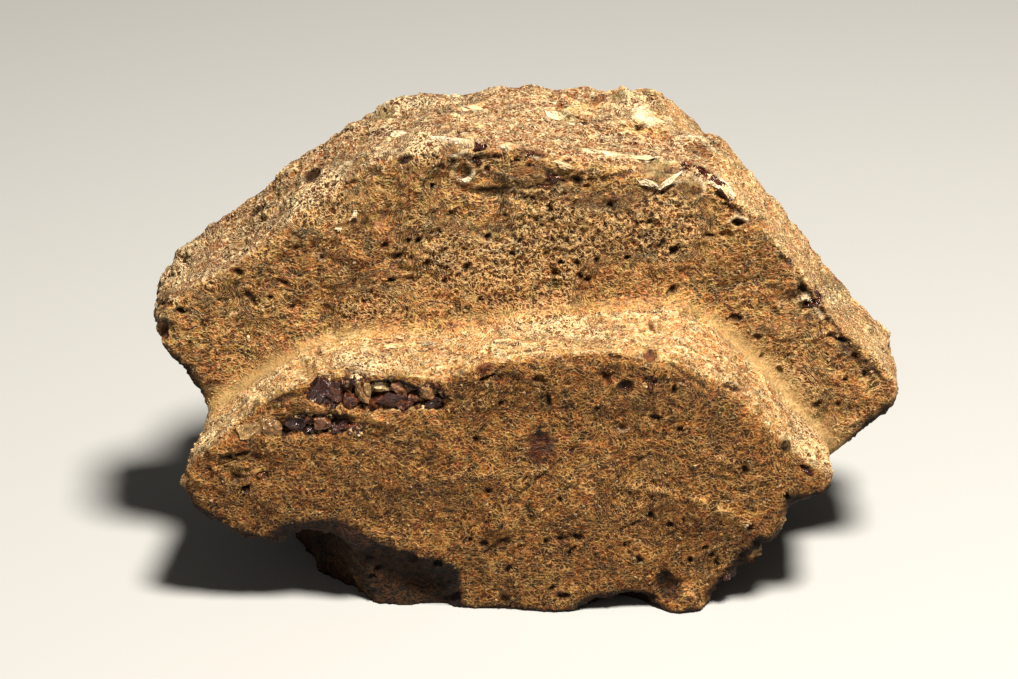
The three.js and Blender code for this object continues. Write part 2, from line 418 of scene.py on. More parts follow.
# ragged rims: every spot and line below is read through this
ragged = 0.30 * gradientNoise(points / 1.1, 51) + 0.22 * gradientNoise(points / 0.5, 52)
breaks = gradientNoise(points / 1.7, 53)
rise = np.zeros(len(points))
tints = {name: np.zeros(len(points)) for name in ("vein", "shade", "rust", "cream", "ash", "sand", "bleach")}
# the sand tint: dust by the corner, and painted light on the faces turned right
tints["sand"] += 0.4 * litRightSide + 0.5 * dust
glassBed = np.zeros(len(points))  # where grains of fresh glassy mineral lie


def addTint(name, amount):
    amount = np.clip(amount, 0, 1)
    if name == "glass":
        glassBed[:] = np.maximum(glassBed, amount)
        name = "vein"
    if name:
        tints[name] = np.maximum(tints[name], amount)


# hollows: pixel, half width and half height in pixels, turn, depth in mm, what colours their inside
hollows = [
    # the front crystal's upper left edge, where the crust has broken off fresh mineral
    (326, 390, 19, 20, 0, 0.35, "glass"), (356, 391, 24, 21, 0, 0.3, "glass"),
    (394, 396, 27, 17, -5, 0.2, "glass"), (428, 396, 18, 16, 0, 0.25, "glass"),
    (303, 424, 17, 13, 10, 0.25, "glass"), (330, 424, 27, 11, 0, 0.2, "glass"),
    (355, 428, 15, 7, -5, 0.15, "glass"), (285, 430, 8, 8, 30, 0.3, "shade"),
    (438, 405, 9, 6, 5, 0.35, "shade"), (258, 428, 24, 11, 18, 0.2, None),
    (228, 458, 12, 2.5, -8, 0.3, "shade"), (257, 458, 8, 5, -10, 0.35, "vein"),
    (240, 455, 10, 2.5, 12, 0.3, "shade"), (236, 479, 16, 5, -6, 0.2, "rust"),
    (246, 489, 7, 4, 25, 0.6, "shade"), (263, 475, 7, 5, 0, 0.3, "vein"), (308, 370, 10, 13, 40, 0.35, "ash"),
    (284, 398, 20, 5, 10, 0.3, "shade"), (206, 462, 5, 11, 15, 0.25, "rust"),
    # along the front crystal's upper edge
    (505, 380, 17, 8, 5, 0.3, "rust"), (484, 368, 11, 6, 10, 0.1, "vein"), (541, 380, 8, 5, 0, 0.45, "rust"),
    (548, 401, 3, 8, 0, 0.35, "shade"), (606, 379, 5, 9, 15, 0.5, "rust"),
    (627, 387, 11, 9, 20, 0.4, "shade"), (651, 355, 9, 7, -30, 0.45, "vein"),
    (652, 382, 10, 7, -8, 0.5, "glass"), (674, 390, 3, 7, -15, 0.4, "shade"),
    (656, 417, 7, 3, 0, 0.25, "shade"), (615, 357, 12, 4, -5, 0.2, "rust"),
    (487, 378, 12, 2.5, 25, 0.4, "shade"), (806, 470, 10, 5, -35, 0.5, "vein"),
    (787, 496, 4.5, 4.5, 45, 0.6, "shade"), (786, 446, 7, 7, 0, 0.35, "shade"),
    (730, 386, 12, 4, -15, 0.35, "shade"), (718, 368, 6, 3, -40, 0.3, "rust"),
    (745, 372, 10, 3, -35, 0.2, "rust"),
    # the front crystal's face and foot
    (541, 446, 17, 19, 20, 0.15, "vein"), (668, 585, 17, 18, 0, 0.35, "shade"),
    (563, 596, 11, 3.5, 8, 0.4, "shade"), (504, 598, 6, 5, 0, 0.35, "rust"),
    (645, 598, 18, 4, -8, 0.4, "shade"), (412, 558, 8, 5, -20, 0.4, "shade"),
    (437, 564, 7, 4, 10, 0.4, "shade"), (447, 577, 13, 13, -10, 0.15, "shade"),
    (455, 597, 6, 5, -30, 0.5, "shade"), (760, 541, 9, 6, 30, 0.4, "shade"),
    (758, 558, 9, 3, 20, 0.35, "rust"), (484, 544, 6, 4, 20, 0.3, "shade"),
    # the top, seen from the front
    (384, 112, 14, 8, 25, 0.4, "ash"), (404, 117, 11, 4.5, 20, 0.8, "rust"),
    (364, 137, 6, 11, -25, 0.5, "ash"), (437, 117, 5, 4, 30, 0.5, "rust"), (463, 131, 8, 3, 15, 0.5, "shade"),
    (563, 118, 27, 6.5, -17, 0.5, "ash"), (584, 122, 6, 3, -20, 0.7, "shade"),
    (560, 103, 5, 4.5, 40, 0.5, "rust"), (569, 95, 11, 4, -20, 0.5, "rust"),
    (604, 98, 18, 4, 10, 0.6, "rust"), (592, 106, 17, 6, 8, 0.4, "sand"), (616, 102, 6, 4, 20, 0.3, "ash"),
    (648, 97, 10, 4, -22, 0.6, "rust"), (641, 128, 8, 3, 10, 0.5, "rust"),
    (700, 150, 14, 9, -20, 0.3, "rust"),
    # under the middle crystal's upper edge
    (448, 149, 9, 5, 8, 0.15, "rust"), (451, 161, 6, 5, -30, 0.4, "rust"), (479, 148, 6, 4, 0, 0.2, "vein"),
    (532, 154, 14, 5, -18, 0.3, "vein"), (552, 178, 9, 7, -15, 0.2, "rust"),
    (541, 186, 13, 2.5, 0, 0.15, "ash"), (476, 160, 5, 3.5, -20, 0.35, "shade"),
    (455, 155, 8, 2.5, 10, 0.3, "vein"), (497, 157, 6, 3, 0, 0.3, "vein"), (516, 160, 5, 3, 0, 0.3, "rust"),
    (530, 165, 5, 3, 10, 0.3, "shade"), (441, 167, 4, 5, 0, 0.25, "rust"),
    (562, 181, 7, 3, -10, 0.3, "shade"), (587, 187, 6, 3, 10, 0.3, "rust"), (604, 181, 5, 3, 0, 0.3, "shade"),
    (622, 176, 6, 3, -10, 0.3, "vein"), (577, 180, 7, 6, -20, 0.25, "shade"),
    (405, 160, 11, 4, 15, 0.35, "vein"), (375, 172, 9, 5, 20, 0.3, "ash"), (432, 187, 5, 4, 0, 0.4, "shade"),
    (656, 170, 25, 8, 0, 0.2, "ash"), (686, 168, 6, 5, 0, 0.4, "glass"), (705, 175, 15, 5, -22, 0.4, "glass"),
    (722, 195, 12, 5, -35, 0.45, "shade"), (732, 208, 14, 5, -25, 0.45, "rust"),
    (738, 222, 7, 4, 0, 0.6, "shade"), (726, 234, 9, 4, 12, 0.4, "rust"),
    (710, 236, 7, 2.5, -5, 0.5, "shade"), (762, 222, 8, 5, -50, 0.4, "rust"),
    (662, 243, 8, 4, 60, 0.4, "shade"), (674, 251, 7, 5, 45, 0.4, "shade"),
    # the middle crystal's right end
    (803, 291, 5, 6, 0, 0.5, "shade"), (812, 304, 14, 5, 4, 0.5, "shade"),
    (820, 296, 13, 4, -50, 0.5, "rust"), (820, 313, 6, 5, -40, 0.4, "vein"),
    (788, 298, 13, 9, 0, 0.15, "ash"), (838, 337, 13, 5, -12, 0.35, "rust"),
    (843, 341, 7, 4, 10, 0.4, "shade"), (855, 356, 5.5, 4.5, 0, 0.5, "shade"),
    (848, 351, 9, 5, -20, 0.2, "ash"), (864, 374, 3, 5, 0, 0.3, "shade"),
    # the middle crystal's left end
    (166, 304, 9, 6, 20, 0.45, "rust"), (181, 311, 7, 4, 0, 0.5, "shade"),
    (165, 330, 7, 13, -20, 0.2, "vein"), (252, 299, 4, 13, 38, 0.25, "vein"),
    (313, 174, 13, 7, 28, 0.4, "shade"), (287, 189, 18, 4, 28, 0.3, "ash"),
    (258, 210, 11, 4, 35, 0.35, "shade"), (240, 243, 12, 5, 25, 0.3, "ash"),
    (237, 272, 8, 4, 0, 0.4, "shade"), (201, 290, 4, 7, 0, 0.25, "ash"), (348, 185, 12, 3.5, 28, 0.3, "rust"),
    (358, 163, 14, 5, 25, 0.3, "ash"), (393, 262, 5, 9, -10, 0.2, "ash"),
    (391, 280, 5, 2.5, -10, 0.5, "shade"), (407, 220, 6, 4, 0, 0.3, "ash"),
    (282, 282, 8, 2, -10, 0.35, "shade"), (292, 307, 4, 3, 0, 0.3, "shade"),
    (270, 297, 4, 3, 0, 0.3, "shade"), (205, 322, 5, 10, -10, 0.15, "rust"),
    (190, 350, 3, 11, 0, 0.15, "rust"), (212, 385, 9, 5, 0, 0.2, "ash"), (369, 221, 23, 14, 25, 0.2, "ash"),
    (551, 285, 19, 7, -5, 0.15, "ash"),
]

# bubbles: round-bottomed hollows with a thin rim that stands up
bubbles = [
    (463, 172, 9, 9, 0, 0.3, "rust"), (487, 169, 4.5, 4.5, 0, 0.3, "vein"),
    (690, 188, 13, 10, -20, 0.2, "ash"), (735, 318, 10, 4, 0, 0.25, "shade"),
    (780, 371, 4, 6, 20, 0.35, "shade"), (757, 337, 6, 4, -10, 0.25, "shade"),
    (623, 427, 6, 4.5, 0, 0.25, "rust"), (750, 527, 5, 4.5, 0, 0.3, "shade"),
    (322, 257, 4, 4, 0, 0.2, "vein"),
]

# lumps that stand out: pixel, half sizes, turn, height, colour
swellings = [
    (505, 526, 22, 14, 5, 0.35, None), (510, 440, 16, 12, 0, 0.2, None), (616, 385, 5, 10, 20, 0.3, None),
    (645, 119, 19, 12, 0, 0.2, "sand"), (630, 100, 8, 8, 0, 0.4, None), (470, 107, 18, 3.5, 12, 0.1, "sand"),
    (248, 338, 2, 2.5, 0, 0.15, "cream"), (734, 575, 7, 8, 0, 0.3, "ash"), (240, 462, 3, 10, 20, 0.25, None),
    (365, 577, 30, 16, -10, 0.25, None), (600, 404, 18, 8, 60, 0.15, None), (668, 130, 10, 5, 0, 0.2, None),
    (505, 172, 15, 17, 0, 0.3, None), (238, 466, 14, 5, 0, 0.25, None), (222, 458, 9, 8, 20, 0.2, None),
]

# stains that only colour: pixel, half sizes, turn, strength, colour
stains = [
    (340, 262, 16, 9, 0, 0.6, "rust"), (650, 249, 13, 9, 30, 0.5, "vein"),
    (268, 284, 16, 12, -20, 0.35, "vein"), (305, 235, 20, 14, -30, 0.25, "vein"),
    (600, 196, 42, 14, -5, 0.4, "vein"), (440, 118, 26, 12, 5, 0.35, "rust"),
    (500, 108, 20, 8, 0, 0.25, "rust"), (620, 145, 22, 4, 0, 0.5, "rust"),
    (740, 395, 14, 26, -35, 0.35, "rust"), (562, 462, 9, 4, 0, 0.6, "rust"),
    (500, 165, 70, 14, -2, 0.3, "rust"), (545, 357, 16, 3, 8, 0.7, "rust"),
    (640, 205, 30, 10, 0, 0.3, "vein"), (775, 250, 8, 26, 35, 0.3, "rust"), (505, 300, 20, 5, 0, 0.2, "vein"),
    (560, 535, 22, 10, 0, 0.3, "rust"), (640, 580, 16, 8, 0, 0.3, "rust"),
    (690, 590, 16, 10, 20, 0.4, "sand"), (470, 560, 26, 10, 0, 0.25, "rust"),
    (600, 250, 26, 12, 0, 0.2, "ash"), (700, 400, 30, 16, -30, 0.3, "ash"),
    (300, 455, 16, 8, 10, 0.3, "rust"), (420, 520, 16, 10, 0, 0.2, "sand"),
    (250, 445, 20, 8, 20, 0.4, "rust"), (577, 531, 7, 5, 0, 0.6, "shade"), (569, 515, 5, 4, 0, 0.5, "shade"),
    (617, 528, 6, 4, 0, 0.55, "shade"), (661, 515, 6, 4, 0, 0.5, "shade"), (696, 526, 6, 3, 0, 0.5, "shade"),
    (641, 117, 11, 8, 0, 0.6, "cream"), (650, 123, 8, 5, 0, 0.5, "cream"),
    (532, 152, 18, 5, -15, 0.7, "vein"), (462, 158, 16, 5, 10, 0.6, "vein"),
    (487, 156, 12, 6, 0, 0.6, "vein"), (505, 174, 14, 12, 0, 0.35, "vein"), (662, 181, 20, 7, 0, 0.5, "ash"),
    (430, 500, 40, 26, 20, 0.25, "ash"), (590, 510, 60, 22, -20, 0.22, "shade"),
    (720, 430, 40, 18, -40, 0.25, "shade"), (700, 395, 40, 12, -20, 0.25, "shade"),
    (560, 400, 50, 12, 0, 0.2, "rust"), (420, 440, 60, 12, -5, 0.2, "shade"),
    (350, 470, 40, 14, -10, 0.25, "rust"), (660, 470, 60, 14, -10, 0.2, "rust"),
    (520, 582, 60, 12, 0, 0.2, "sand"), (380, 540, 30, 16, -20, 0.3, "sand"),
    (600, 430, 26, 16, 0, 0.2, "sand"), (265, 283, 26, 12, -5, 0.3, "vein"),
    (340, 160, 20, 10, 35, 0.3, "ash"), (730, 345, 20, 8, -50, 0.3, "ash"),
    (800, 325, 40, 12, -30, 0.25, "rust"), (480, 215, 20, 10, 0, 0.2, "ash"),
    (660, 320, 40, 10, -5, 0.3, "sand"), (240, 230, 60, 10, 38, 0.25, "ash"),
    (185, 280, 20, 12, 40, 0.3, "sand"),
]

# ridges and laths: a line of pixels, half width in pixels, height in mm, colour
ridges = [
    ([(240, 398), (270, 402), (300, 402), (330, 407), (350, 414), (375, 419), (400, 420)], 4, 0.35, "sand"),
    ([(455, 476), (500, 472), (545, 470), (580, 480), (640, 487), (690, 500), (720, 510), (745, 522),
      (790, 518)], 5, 0.16, None),
    ([(365, 480), (372, 500), (385, 525), (400, 550)], 4, 0.15, None),
    ([(655, 405), (668, 375)], 1.3, 0.2, "sand"), ([(612, 395), (619, 374)], 3, 0.25, "sand"),
    ([(440, 152), (452, 157), (466, 151)], 1.8, 0.2, "cream"),
    ([(466, 139), (490, 143), (510, 147), (525, 152), (545, 163), (552, 167)], 2.6, 0.3, "sand"),
    ([(560, 166), (600, 172), (640, 167), (680, 166), (720, 176), (740, 198)], 2.0, 0.2, "sand"),
    ([(562, 99), (585, 108), (608, 108), (622, 93), (630, 103), (645, 112)], 3, 0.4, "sand"),
    ([(540, 112), (575, 112), (600, 122), (625, 122), (640, 112)], 3, 0.25, "sand"),
    ([(580, 92), (610, 89), (640, 90), (660, 97)], 3, 0.35, "sand"),
    ([(444, 128), (470, 124), (482, 127)], 1.8, 0.25, "sand"),
    ([(680, 137), (700, 137), (713, 150)], 1.5, 0.2, "cream"),
    ([(265, 215), (300, 196), (330, 180)], 2, 0.2, "sand"), ([(335, 172), (352, 162)], 1.5, 0.2, "cream"),
    ([(735, 330), (752, 360), (775, 415), (800, 445), (825, 450)], 2.5, 0.15, "sand"),
    ([(797, 302), (806, 297), (815, 308), (822, 318)], 1.5, 0.35, "cream"),
    ([(800, 342), (830, 331), (848, 340)], 2.0, 0.25, "sand"),
    ([(835, 322), (860, 350), (888, 380)], 2.2, 0.3, "sand"),
    ([(205, 448), (216, 455), (214, 468), (228, 483), (250, 481)], 1.8, 0.3, "sand"),
    ([(214, 468), (228, 470), (246, 474), (262, 470)], 1.6, 0.25, "sand"),
    ([(190, 470), (200, 482), (222, 490)], 1.6, 0.2, "sand"),
    ([(216, 452), (234, 451), (252, 447), (268, 440)], 1.6, 0.25, "sand"),
    ([(590, 480), (620, 470), (650, 445), (700, 455), (740, 470)], 3, 0.1, None),
    ([(520, 415), (550, 425), (585, 420), (600, 400)], 3, 0.12, None),
    ([(705, 395), (722, 420), (745, 450)], 2.5, 0.15, "sand"),
    ([(735, 372), (748, 395), (760, 412)], 2.5, 0.2, "rust"),
    ([(680, 183), (692, 178), (704, 187)], 1.1, 0.25, "cream"),
    ([(728, 222), (736, 216), (747, 220)], 1.2, 0.25, "cream"),
    ([(708, 182), (722, 190), (730, 198)], 1.3, 0.3, "cream"), ([(715, 178), (727, 190)], 1.0, 0.25, "cream"),
    ([(245, 425), (262, 418), (285, 412)], 1.2, 0.15, "sand"),
    ([(757, 222), (775, 245), (790, 265), (805, 285), (820, 305)], 5, -0.05, "rust"),
    ([(835, 325), (860, 350), (885, 375), (893, 395)], 3, -0.1, "rust"),
    ([(175, 270), (165, 300), (160, 330)], 4, 0, "rust"),
    ([(752, 215), (775, 245), (800, 280), (822, 310), (845, 340), (868, 362),
      (890, 388)], 2.4, -0.12, "vein"),
    ([(748, 214), (770, 244), (795, 277), (818, 304)], 4, -0.05, "rust"),
    ([(491, 178), (498, 188), (510, 190), (519, 182)], 1.1, 0.15, "cream"),
    ([(456, 178), (463, 182), (470, 180), (474, 172)], 1.2, 0.2, "cream"),
    ([(430, 139), (466, 142), (480, 144), (510, 150), (545, 160), (553, 164)], 1.2, 0.3, "cream"),
    ([(560, 176), (590, 180), (632, 172)], 1.5, -0.15, "shade"),
    ([(640, 186), (660, 194), (682, 180)], 1.5, -0.2, "shade"),
    ([(365, 475), (372, 500), (385, 525), (400, 550)], 2, 0.05, "bleach"),
    ([(455, 478), (500, 474), (545, 472), (580, 482), (640, 489), (690, 502), (720, 512), (745, 524),
      (790, 520)], 6, 0.05, "bleach"),
    ([(520, 485), (560, 500), (600, 520), (640, 505)], 4, 0.05, "bleach"),
    ([(610, 480), (640, 455), (700, 450), (760, 470)], 3, 0.05, "bleach"),
    ([(300, 440), (340, 450), (400, 440), (460, 445)], 3, 0.05, "bleach"),
    ([(600, 372), (640, 372), (680, 382), (715, 400)], 4, -0.1, "rust"),
    ([(460, 372), (500, 376), (560, 364), (600, 360)], 3, -0.1, "rust"),
    ([(567, 481), (580, 488), (593, 494)], 3.5, 0.08, "bleach"),
    ([(638, 476), (648, 460), (669, 452)], 3.5, 0.08, "bleach"),
    ([(627, 489), (659, 489), (680, 497), (703, 499), (739, 518), (770, 530)], 4, 0.1, "bleach"),
    ([(600, 492), (616, 500), (640, 498)], 3, 0.08, "bleach"),
    ([(505, 485), (520, 478), (538, 484)], 3, 0.08, "bleach"),
    ([(690, 462), (712, 470), (730, 462)], 3, 0.08, "bleach"),
    ([(420, 470), (440, 480), (470, 474)], 3, 0.08, "bleach"),
    ([(560, 478), (593, 494), (627, 489), (659, 489), (680, 497), (703, 499),
      (739, 518)], 2.2, 0.06, "sand"),
]

# cracks: a line of pixels, half width in pixels, depth in mm
cracks = [
    ([(484, 524), (493, 518), (516, 497), (540, 476), (567, 455), (580, 444)], 1.2, 0.3),
    ([(486, 552), (500, 541), (522, 537), (532, 522), (528, 508)], 2.4, 0.45),
    ([(540, 546), (552, 541), (580, 537)], 2.0, 0.35), ([(482, 380), (495, 372), (510, 363)], 1.5, 0.4),
    ([(610, 485), (640, 460), (655, 450), (690, 445)], 1.0, 0.2), ([(398, 282), (412, 279)], 1.2, 0.3),
    ([(625, 540), (620, 530), (640, 520)], 1.2, 0.25), ([(662, 535), (700, 532), (725, 525)], 1.1, 0.2),
    ([(410, 530), (470, 528), (484, 522)], 1.0, 0.2), ([(445, 598), (470, 592), (480, 585)], 1.3, 0.3),
    ([(640, 352), (665, 360), (690, 378), (712, 392)], 2.0, 0.3),
    ([(600, 375), (640, 377), (672, 380)], 1.6, 0.3),
]

# dark holes 0.4 to 0.7 mm wide
holes = [
    (408, 241), (418, 241), (411, 258), (427, 263), (440, 232), (452, 213), (398, 256), (385, 245),
    (495, 262), (512, 253), (560, 262), (577, 263), (596, 261), (555, 272), (580, 276), (587, 280),
    (480, 300), (466, 268), (444, 281), (550, 209), (505, 215), (488, 236), (520, 240), (610, 205),
    (637, 222), (650, 222), (627, 258), (672, 291), (668, 294), (838, 404), (845, 380), (817, 405),
    (762, 357), (545, 543), (560, 540), (578, 538), (575, 548), (570, 553), (625, 545), (640, 560),
    (705, 548), (712, 555), (716, 562), (650, 515), (684, 520), (670, 525), (552, 588), (508, 570),
    (470, 540), (355, 575), (372, 575), (378, 568), (500, 404), (476, 440), (560, 500), (488, 492),
    (370, 362), (318, 352), (650, 323), (652, 326), (598, 407), (680, 430), (690, 560), (745, 470),
]

marks = {
    # where each kind of spot starts to fade and where it ends, in its own half sizes
    "hollowFade": (0.35, 1.05), "swellingFade": (0.3, 1.0), "stainFade": (0.4, 1.1), "holeFade": (0.3, 1.1),
    "rimWidth": 0.14,  # of a bubble's half size
    "rimHeight": 0.12,  # mm
    "holeSizes": (2.4, 3.2, 2.8, 4.0),  # half heights in pixels, taken in turn
    "holeDepth": 0.4,  # mm
}

for px, py, wide, high, turn, depth, tint in hollows:
    far = spotDistance(px, py, wide, high, turn) + 1.1 * ragged
    rise -= depth * (1 - blendStep(*marks["hollowFade"], far))
    addTint(tint, 1 - blendStep(0.6, 1.05, far))
for px, py, wide, high, turn, depth, tint in bubbles:
    far = spotDistance(px, py, wide, high, turn) + 0.5 * ragged
    rise -= depth * np.clip(1 - far ** 2, 0, 1)
    rim = np.exp(-((far - 1.05) / marks["rimWidth"]) ** 2)
    rise += marks["rimHeight"] * rim
    addTint(tint, 1 - blendStep(0.8, 1.0, far))
    addTint("cream", 0.35 * rim * blendStep(-0.2, 0.3, breaks))
    calm *= 1 - 0.6 * (1 - blendStep(0.7, 1.0, far))
for px, py, wide, high, turn, height, tint in swellings:
    far = spotDistance(px, py, wide, high, turn) + ragged
    rise += height * (1 - blendStep(*marks["swellingFade"], far))
    addTint(tint, 0.9 - 0.9 * blendStep(0.5, 1.0, far))
for px, py, wide, high, turn, strength, tint in stains:
    far = spotDistance(px, py, wide, high, turn) + 1.5 * ragged
    addTint(tint, strength * (1 - blendStep(*marks["stainFade"], far)))
for line, width, height, tint in ridges:
    far = strokeDistance(line) / width + 1.3 * ragged
    crest = np.exp(-np.clip(far, 0, 9) ** 2) * (0.45 + 0.55 * blendStep(-0.3, 0.3, breaks))
    rise += height * crest
    addTint(tint, 0.9 * crest * blendStep(-0.4, 0.2, breaks))
for line, width, depth in cracks:
    far = strokeDistance(line)
    cut = np.exp(-(np.maximum(far + 2.5 * ragged, 0) / width) ** 2) * blendStep(-0.6, 0.1, breaks)
    rise -= 0.6 * depth * cut
    addTint("shade", 0.85 * cut)
for index, (px, py) in enumerate(holes):
    size = marks["holeSizes"][index % 4]
    far = spotDistance(px, py, size * 1.4, size, 30 * (index % 5)) + ragged
    rise -= marks["holeDepth"] * (1 - blendStep(*marks["holeFade"], far))
    addTint("shade", 1 - blendStep(0.4, 1.3, far))
formed = rise.copy()
print("hollows, bubbles, ridges and cracks placed")

for index, key in enumerate(("swell", "lumps")):
    wave, height = stone[key]
    rise += height * gradientNoise(points / wave, 20 + index) * (0.4 + 0.6 * calm)
wave, height = stone["knots"]
rise += height * calm * (0.5 - 2.0 * np.abs(gradientNoise(points / wave, 23)))

# the prism faces show the edges of thin layers, which run square to Y
for index, (layer, height) in enumerate(stone["layers"]):
    layerNoise = gradientNoise(points / (5.0 + 3 * index, layer, 5.0 + 3 * index), 31 + index)
    rise += height * (0.5 - 1.6 * np.abs(layerNoise)) * prism * calm

# flat chips, each leaning its own way
chipBend = 0.25 * noiseVector(points / 1.2, 60)
for index, (chip, height) in enumerate(stone["chips"]):
    chipName, chipAway = nearestCell(points / chip + chipBend, 63 + index)[2:]
    leans = np.random.default_rng(65 + index).normal(size=(256, 3))
    rise += height * calm * (1 - 0.55 * basal) * (chipAway * leans[chipName]).sum(1)

# worm-like ridges, in a field that is bent by another noise
bend = noiseVector(points / 1.4, 34)
wave, height = stone["worms"]
worm = 1 - np.clip(np.abs(gradientNoise(points / wave + 0.5 * bend, 37)) / 0.32, 0, 1)
rise += height * calm * (worm - 0.4)
wave, height = stone["grit"]
rise += height * calm * gradientNoise(points / wave, 38)

# thin walls round little hollows, strongest in porous patches such as the middle crystal's face
porousSpot = 1 - np.clip(spotDistance(590, 245, 160, 70), 0, 1)
porous = blendStep(0.1, 0.6, gradientNoise(points / 8, 42) + 0.9 * porousSpot)
wave, height = stone["walls"]
wallFirst, wallSecond, wallName = nearestCell(points / wave + 0.35 * bend, 43)[:3]
walls = 1 - blendStep(0.02, 0.34, wallSecond - wallFirst)
rise += height * calm * (walls - 0.35) * (0.15 + 0.85 * porous) * (0.5 + 0.5 * wallName / 255)

spacing, depth = stone["pores"]
poreFar, _, poreName, _ = nearestCell(points / spacing, 41)
poreShare = poreName / 255
pores = 1 - blendStep(0.3, 1.1, poreFar / (0.1 + 0.22 * poreShare) + 0.8 * ragged)
pores = pores * (poreShare > 0.86 - 0.2 * porous) * calm
rise -= depth * pores * (0.5 + 0.5 * porous)
addTint("shade", 0.5 * pores)

# how far each point lies below (0.5 to 1) or above (0.5 to 0) its surroundings, mostly in the fine texture
texture = rise - formed
heightMap = texture - relax(texture, edges, 16) + 0.25 * (formed - relax(formed, edges, 16))
# the material paints shade where this is high and highlight where it is low
cavity = np.clip(0.5 - heightMap / stone["cavityRange"], 0, 1)
rise[foot] = 0
rear = blendStep(-5.2, -3.6, points[:, 1])
points = points + flow * rise[:, None]
points[:, 2] = np.maximum(points[:, 2], 0)
points = np.clip(points, boxLow, boxHigh)
brown = np.clip(frontFace + 0.25 * basal, 0, 1)
bare = np.max([underShade, tints["vein"], tints["shade"], 0.7 * tints["rust"], 0.75 * tints["ash"]], axis=0)
masks = {"cavity": cavity, "crust": 1 - bare, "powderAndShade": powderAndShade, "prism": prism, "brown": brown,
         "underShade": underShade, "porous": porous, "rear": rear, **tints}
whole = makeMesh("wholeStone", points, triangles)
for key, values in masks.items():
    storeMask(whole, key, values)
print("stone sculpted")

# where one crystal's piece ends and the next begins, in mm along Y. Each piece is closed there
crystalCuts = {
    "frontCrystal": (None, -6.0), "middleCrystal": (-6.0, 2.0), "rearCrystal": (2.0, 10.0),
    "backCrystal": (10.0, None),
}


def cutCrystal(name, start, end):
    work = bmesh.new()
    work.from_mesh(whole)
    for place, direction in ((start, -1), (end, 1)):
        if place is None:
            continue
        parts = work.verts[:] + work.edges[:] + work.faces[:]
        bmesh.ops.bisect_plane(work, geom=parts, dist=1e-7, plane_co=(0, place * mm, 0),
                               plane_no=(0, direction, 0), clear_outer=True)
        rim = [edge for edge in work.edges if edge.is_boundary]
        bmesh.ops.triangle_fill(work, use_beauty=False, edges=rim, normal=(0, direction, 0))
    bmesh.ops.triangulate(work, faces=[face for face in work.faces if len(face.verts) > 3])
    mesh = bpy.data.meshes.new(name)
    work.to_mesh(mesh)
    mesh.shade_smooth()
    print(name, len(work.faces), "triangles, open edges:", sum(edge.is_boundary for edge in work.edges))
    work.free()
    return addObject(name, mesh)


crystalPieces = [cutCrystal(name, *ends) for name, ends in crystalCuts.items()]
triangleMask = {key: values[triangles[:, 0]] for key, values in masks.items()}
corners = points[triangles]
triangleArea = np.linalg.norm(triangleNormals(points, triangles), axis=1) / 2

# an irregular eight-sided grain: top and bottom tips and four corners round the middle
grainTips = [(0.2, 0.1, 0.9), (-0.1, 0.1, -0.9), (1, -0.3, 0.2), (0.3, 1, -0.1), (-1, 0.2, 0.2),
             (-0.2, -1, 0.1)]
grainFaces = np.array([(0, 2, 3), (0, 3, 4), (0, 4, 5), (0, 5, 2),
                       (1, 3, 2), (1, 4, 3), (1, 5, 4), (1, 2, 5)])


def scatterGrains(name, seed, weight, count, size, stretch, sink, layered):
    # grains part sunk in the surface: size in mm, sink the share below it, layered the share that
    # lies along the layers of the prism faces
    rng = np.random.default_rng(seed)
    pick = rng.choice(len(triangles), count, p=weight / weight.sum())
    share = rng.dirichlet((1, 1, 1), count)
    seat = (corners[pick] * share[:, :, None]).sum(1)
    normal = unit(flow[triangles[pick, 0]] + rng.normal(0, 0.35, (count, 3)))
    along = rng.normal(size=(count, 3))
    lean = ((rng.random(count) < layered) * triangleMask["prism"][pick])[:, None]
    along += lean * 3 * np.cross(normal, (0, 1, 0)) * rng.choice((-1, 1), (count, 1))
    along = unit(along - normal * (along * normal).sum(1, keepdims=True))
    side = np.cross(normal, along)
    half = rng.uniform(*size, (count, 1)) / 2
    long = half * rng.uniform(*stretch, (count, 1))
    middle = seat + normal * half * (1 - 2 * sink)
    tips = []
    for a, b, c in grainTips:
        jitter = rng.uniform(0.7, 1.15, (count, 3))
        tips.append(middle + along * long * a * jitter[:, :1] + side * half * b * jitter[:, 1:2]
                    + normal * half * c * jitter[:, 2:])
    body = np.clip(np.stack(tips, 1).reshape(-1, 3), boxLow, boxHigh)
    faces = (np.arange(count)[:, None, None] * 6 + grainFaces).reshape(-1, 3)
    item = addObject(name, makeMesh(name, body, faces))
    for key, values in triangleMask.items():
        storeMask(item.data, key, np.repeat(values[pick], 6))
    storeMask(item.data, "grain", np.repeat(rng.uniform(0.001, 1, count), 6))
    print(name, len(faces), "triangles")
    return item


crumbs = {"count": 5500, "size": (0.18, 0.5), "stretch": (0.9, 1.7), "sink": 0.68, "layered": 0.6}
crumbWeight = triangleArea * (1 - 0.9 * triangleMask["powderAndShade"]) * (corners[:, :, 2].max(1) > 0.3)
for key, share in (("underShade", 1), ("vein", 1), ("cream", 0.8), ("ash", 0.8), ("shade", 0.9)):
    crumbWeight = crumbWeight * (1 - share * triangleMask[key])
crumbPieces = [scatterGrains("crustCrumbsA", 100, crumbWeight, **crumbs),
               scatterGrains("crustCrumbsB", 101, crumbWeight, **crumbs)]

# glassy grains of fresh bastnasite, bedded in the hollows
glassy = {"count": 1300, "size": (0.2, 0.55), "stretch": (0.9, 1.5), "sink": 0.45, "layered": 0}
glassyWeight = triangleArea * blendStep(0.6, 0.95, glassBed[triangles[:, 0]])
glassyPiece = scatterGrains("glassyGrains", 110, glassyWeight, **glassy)

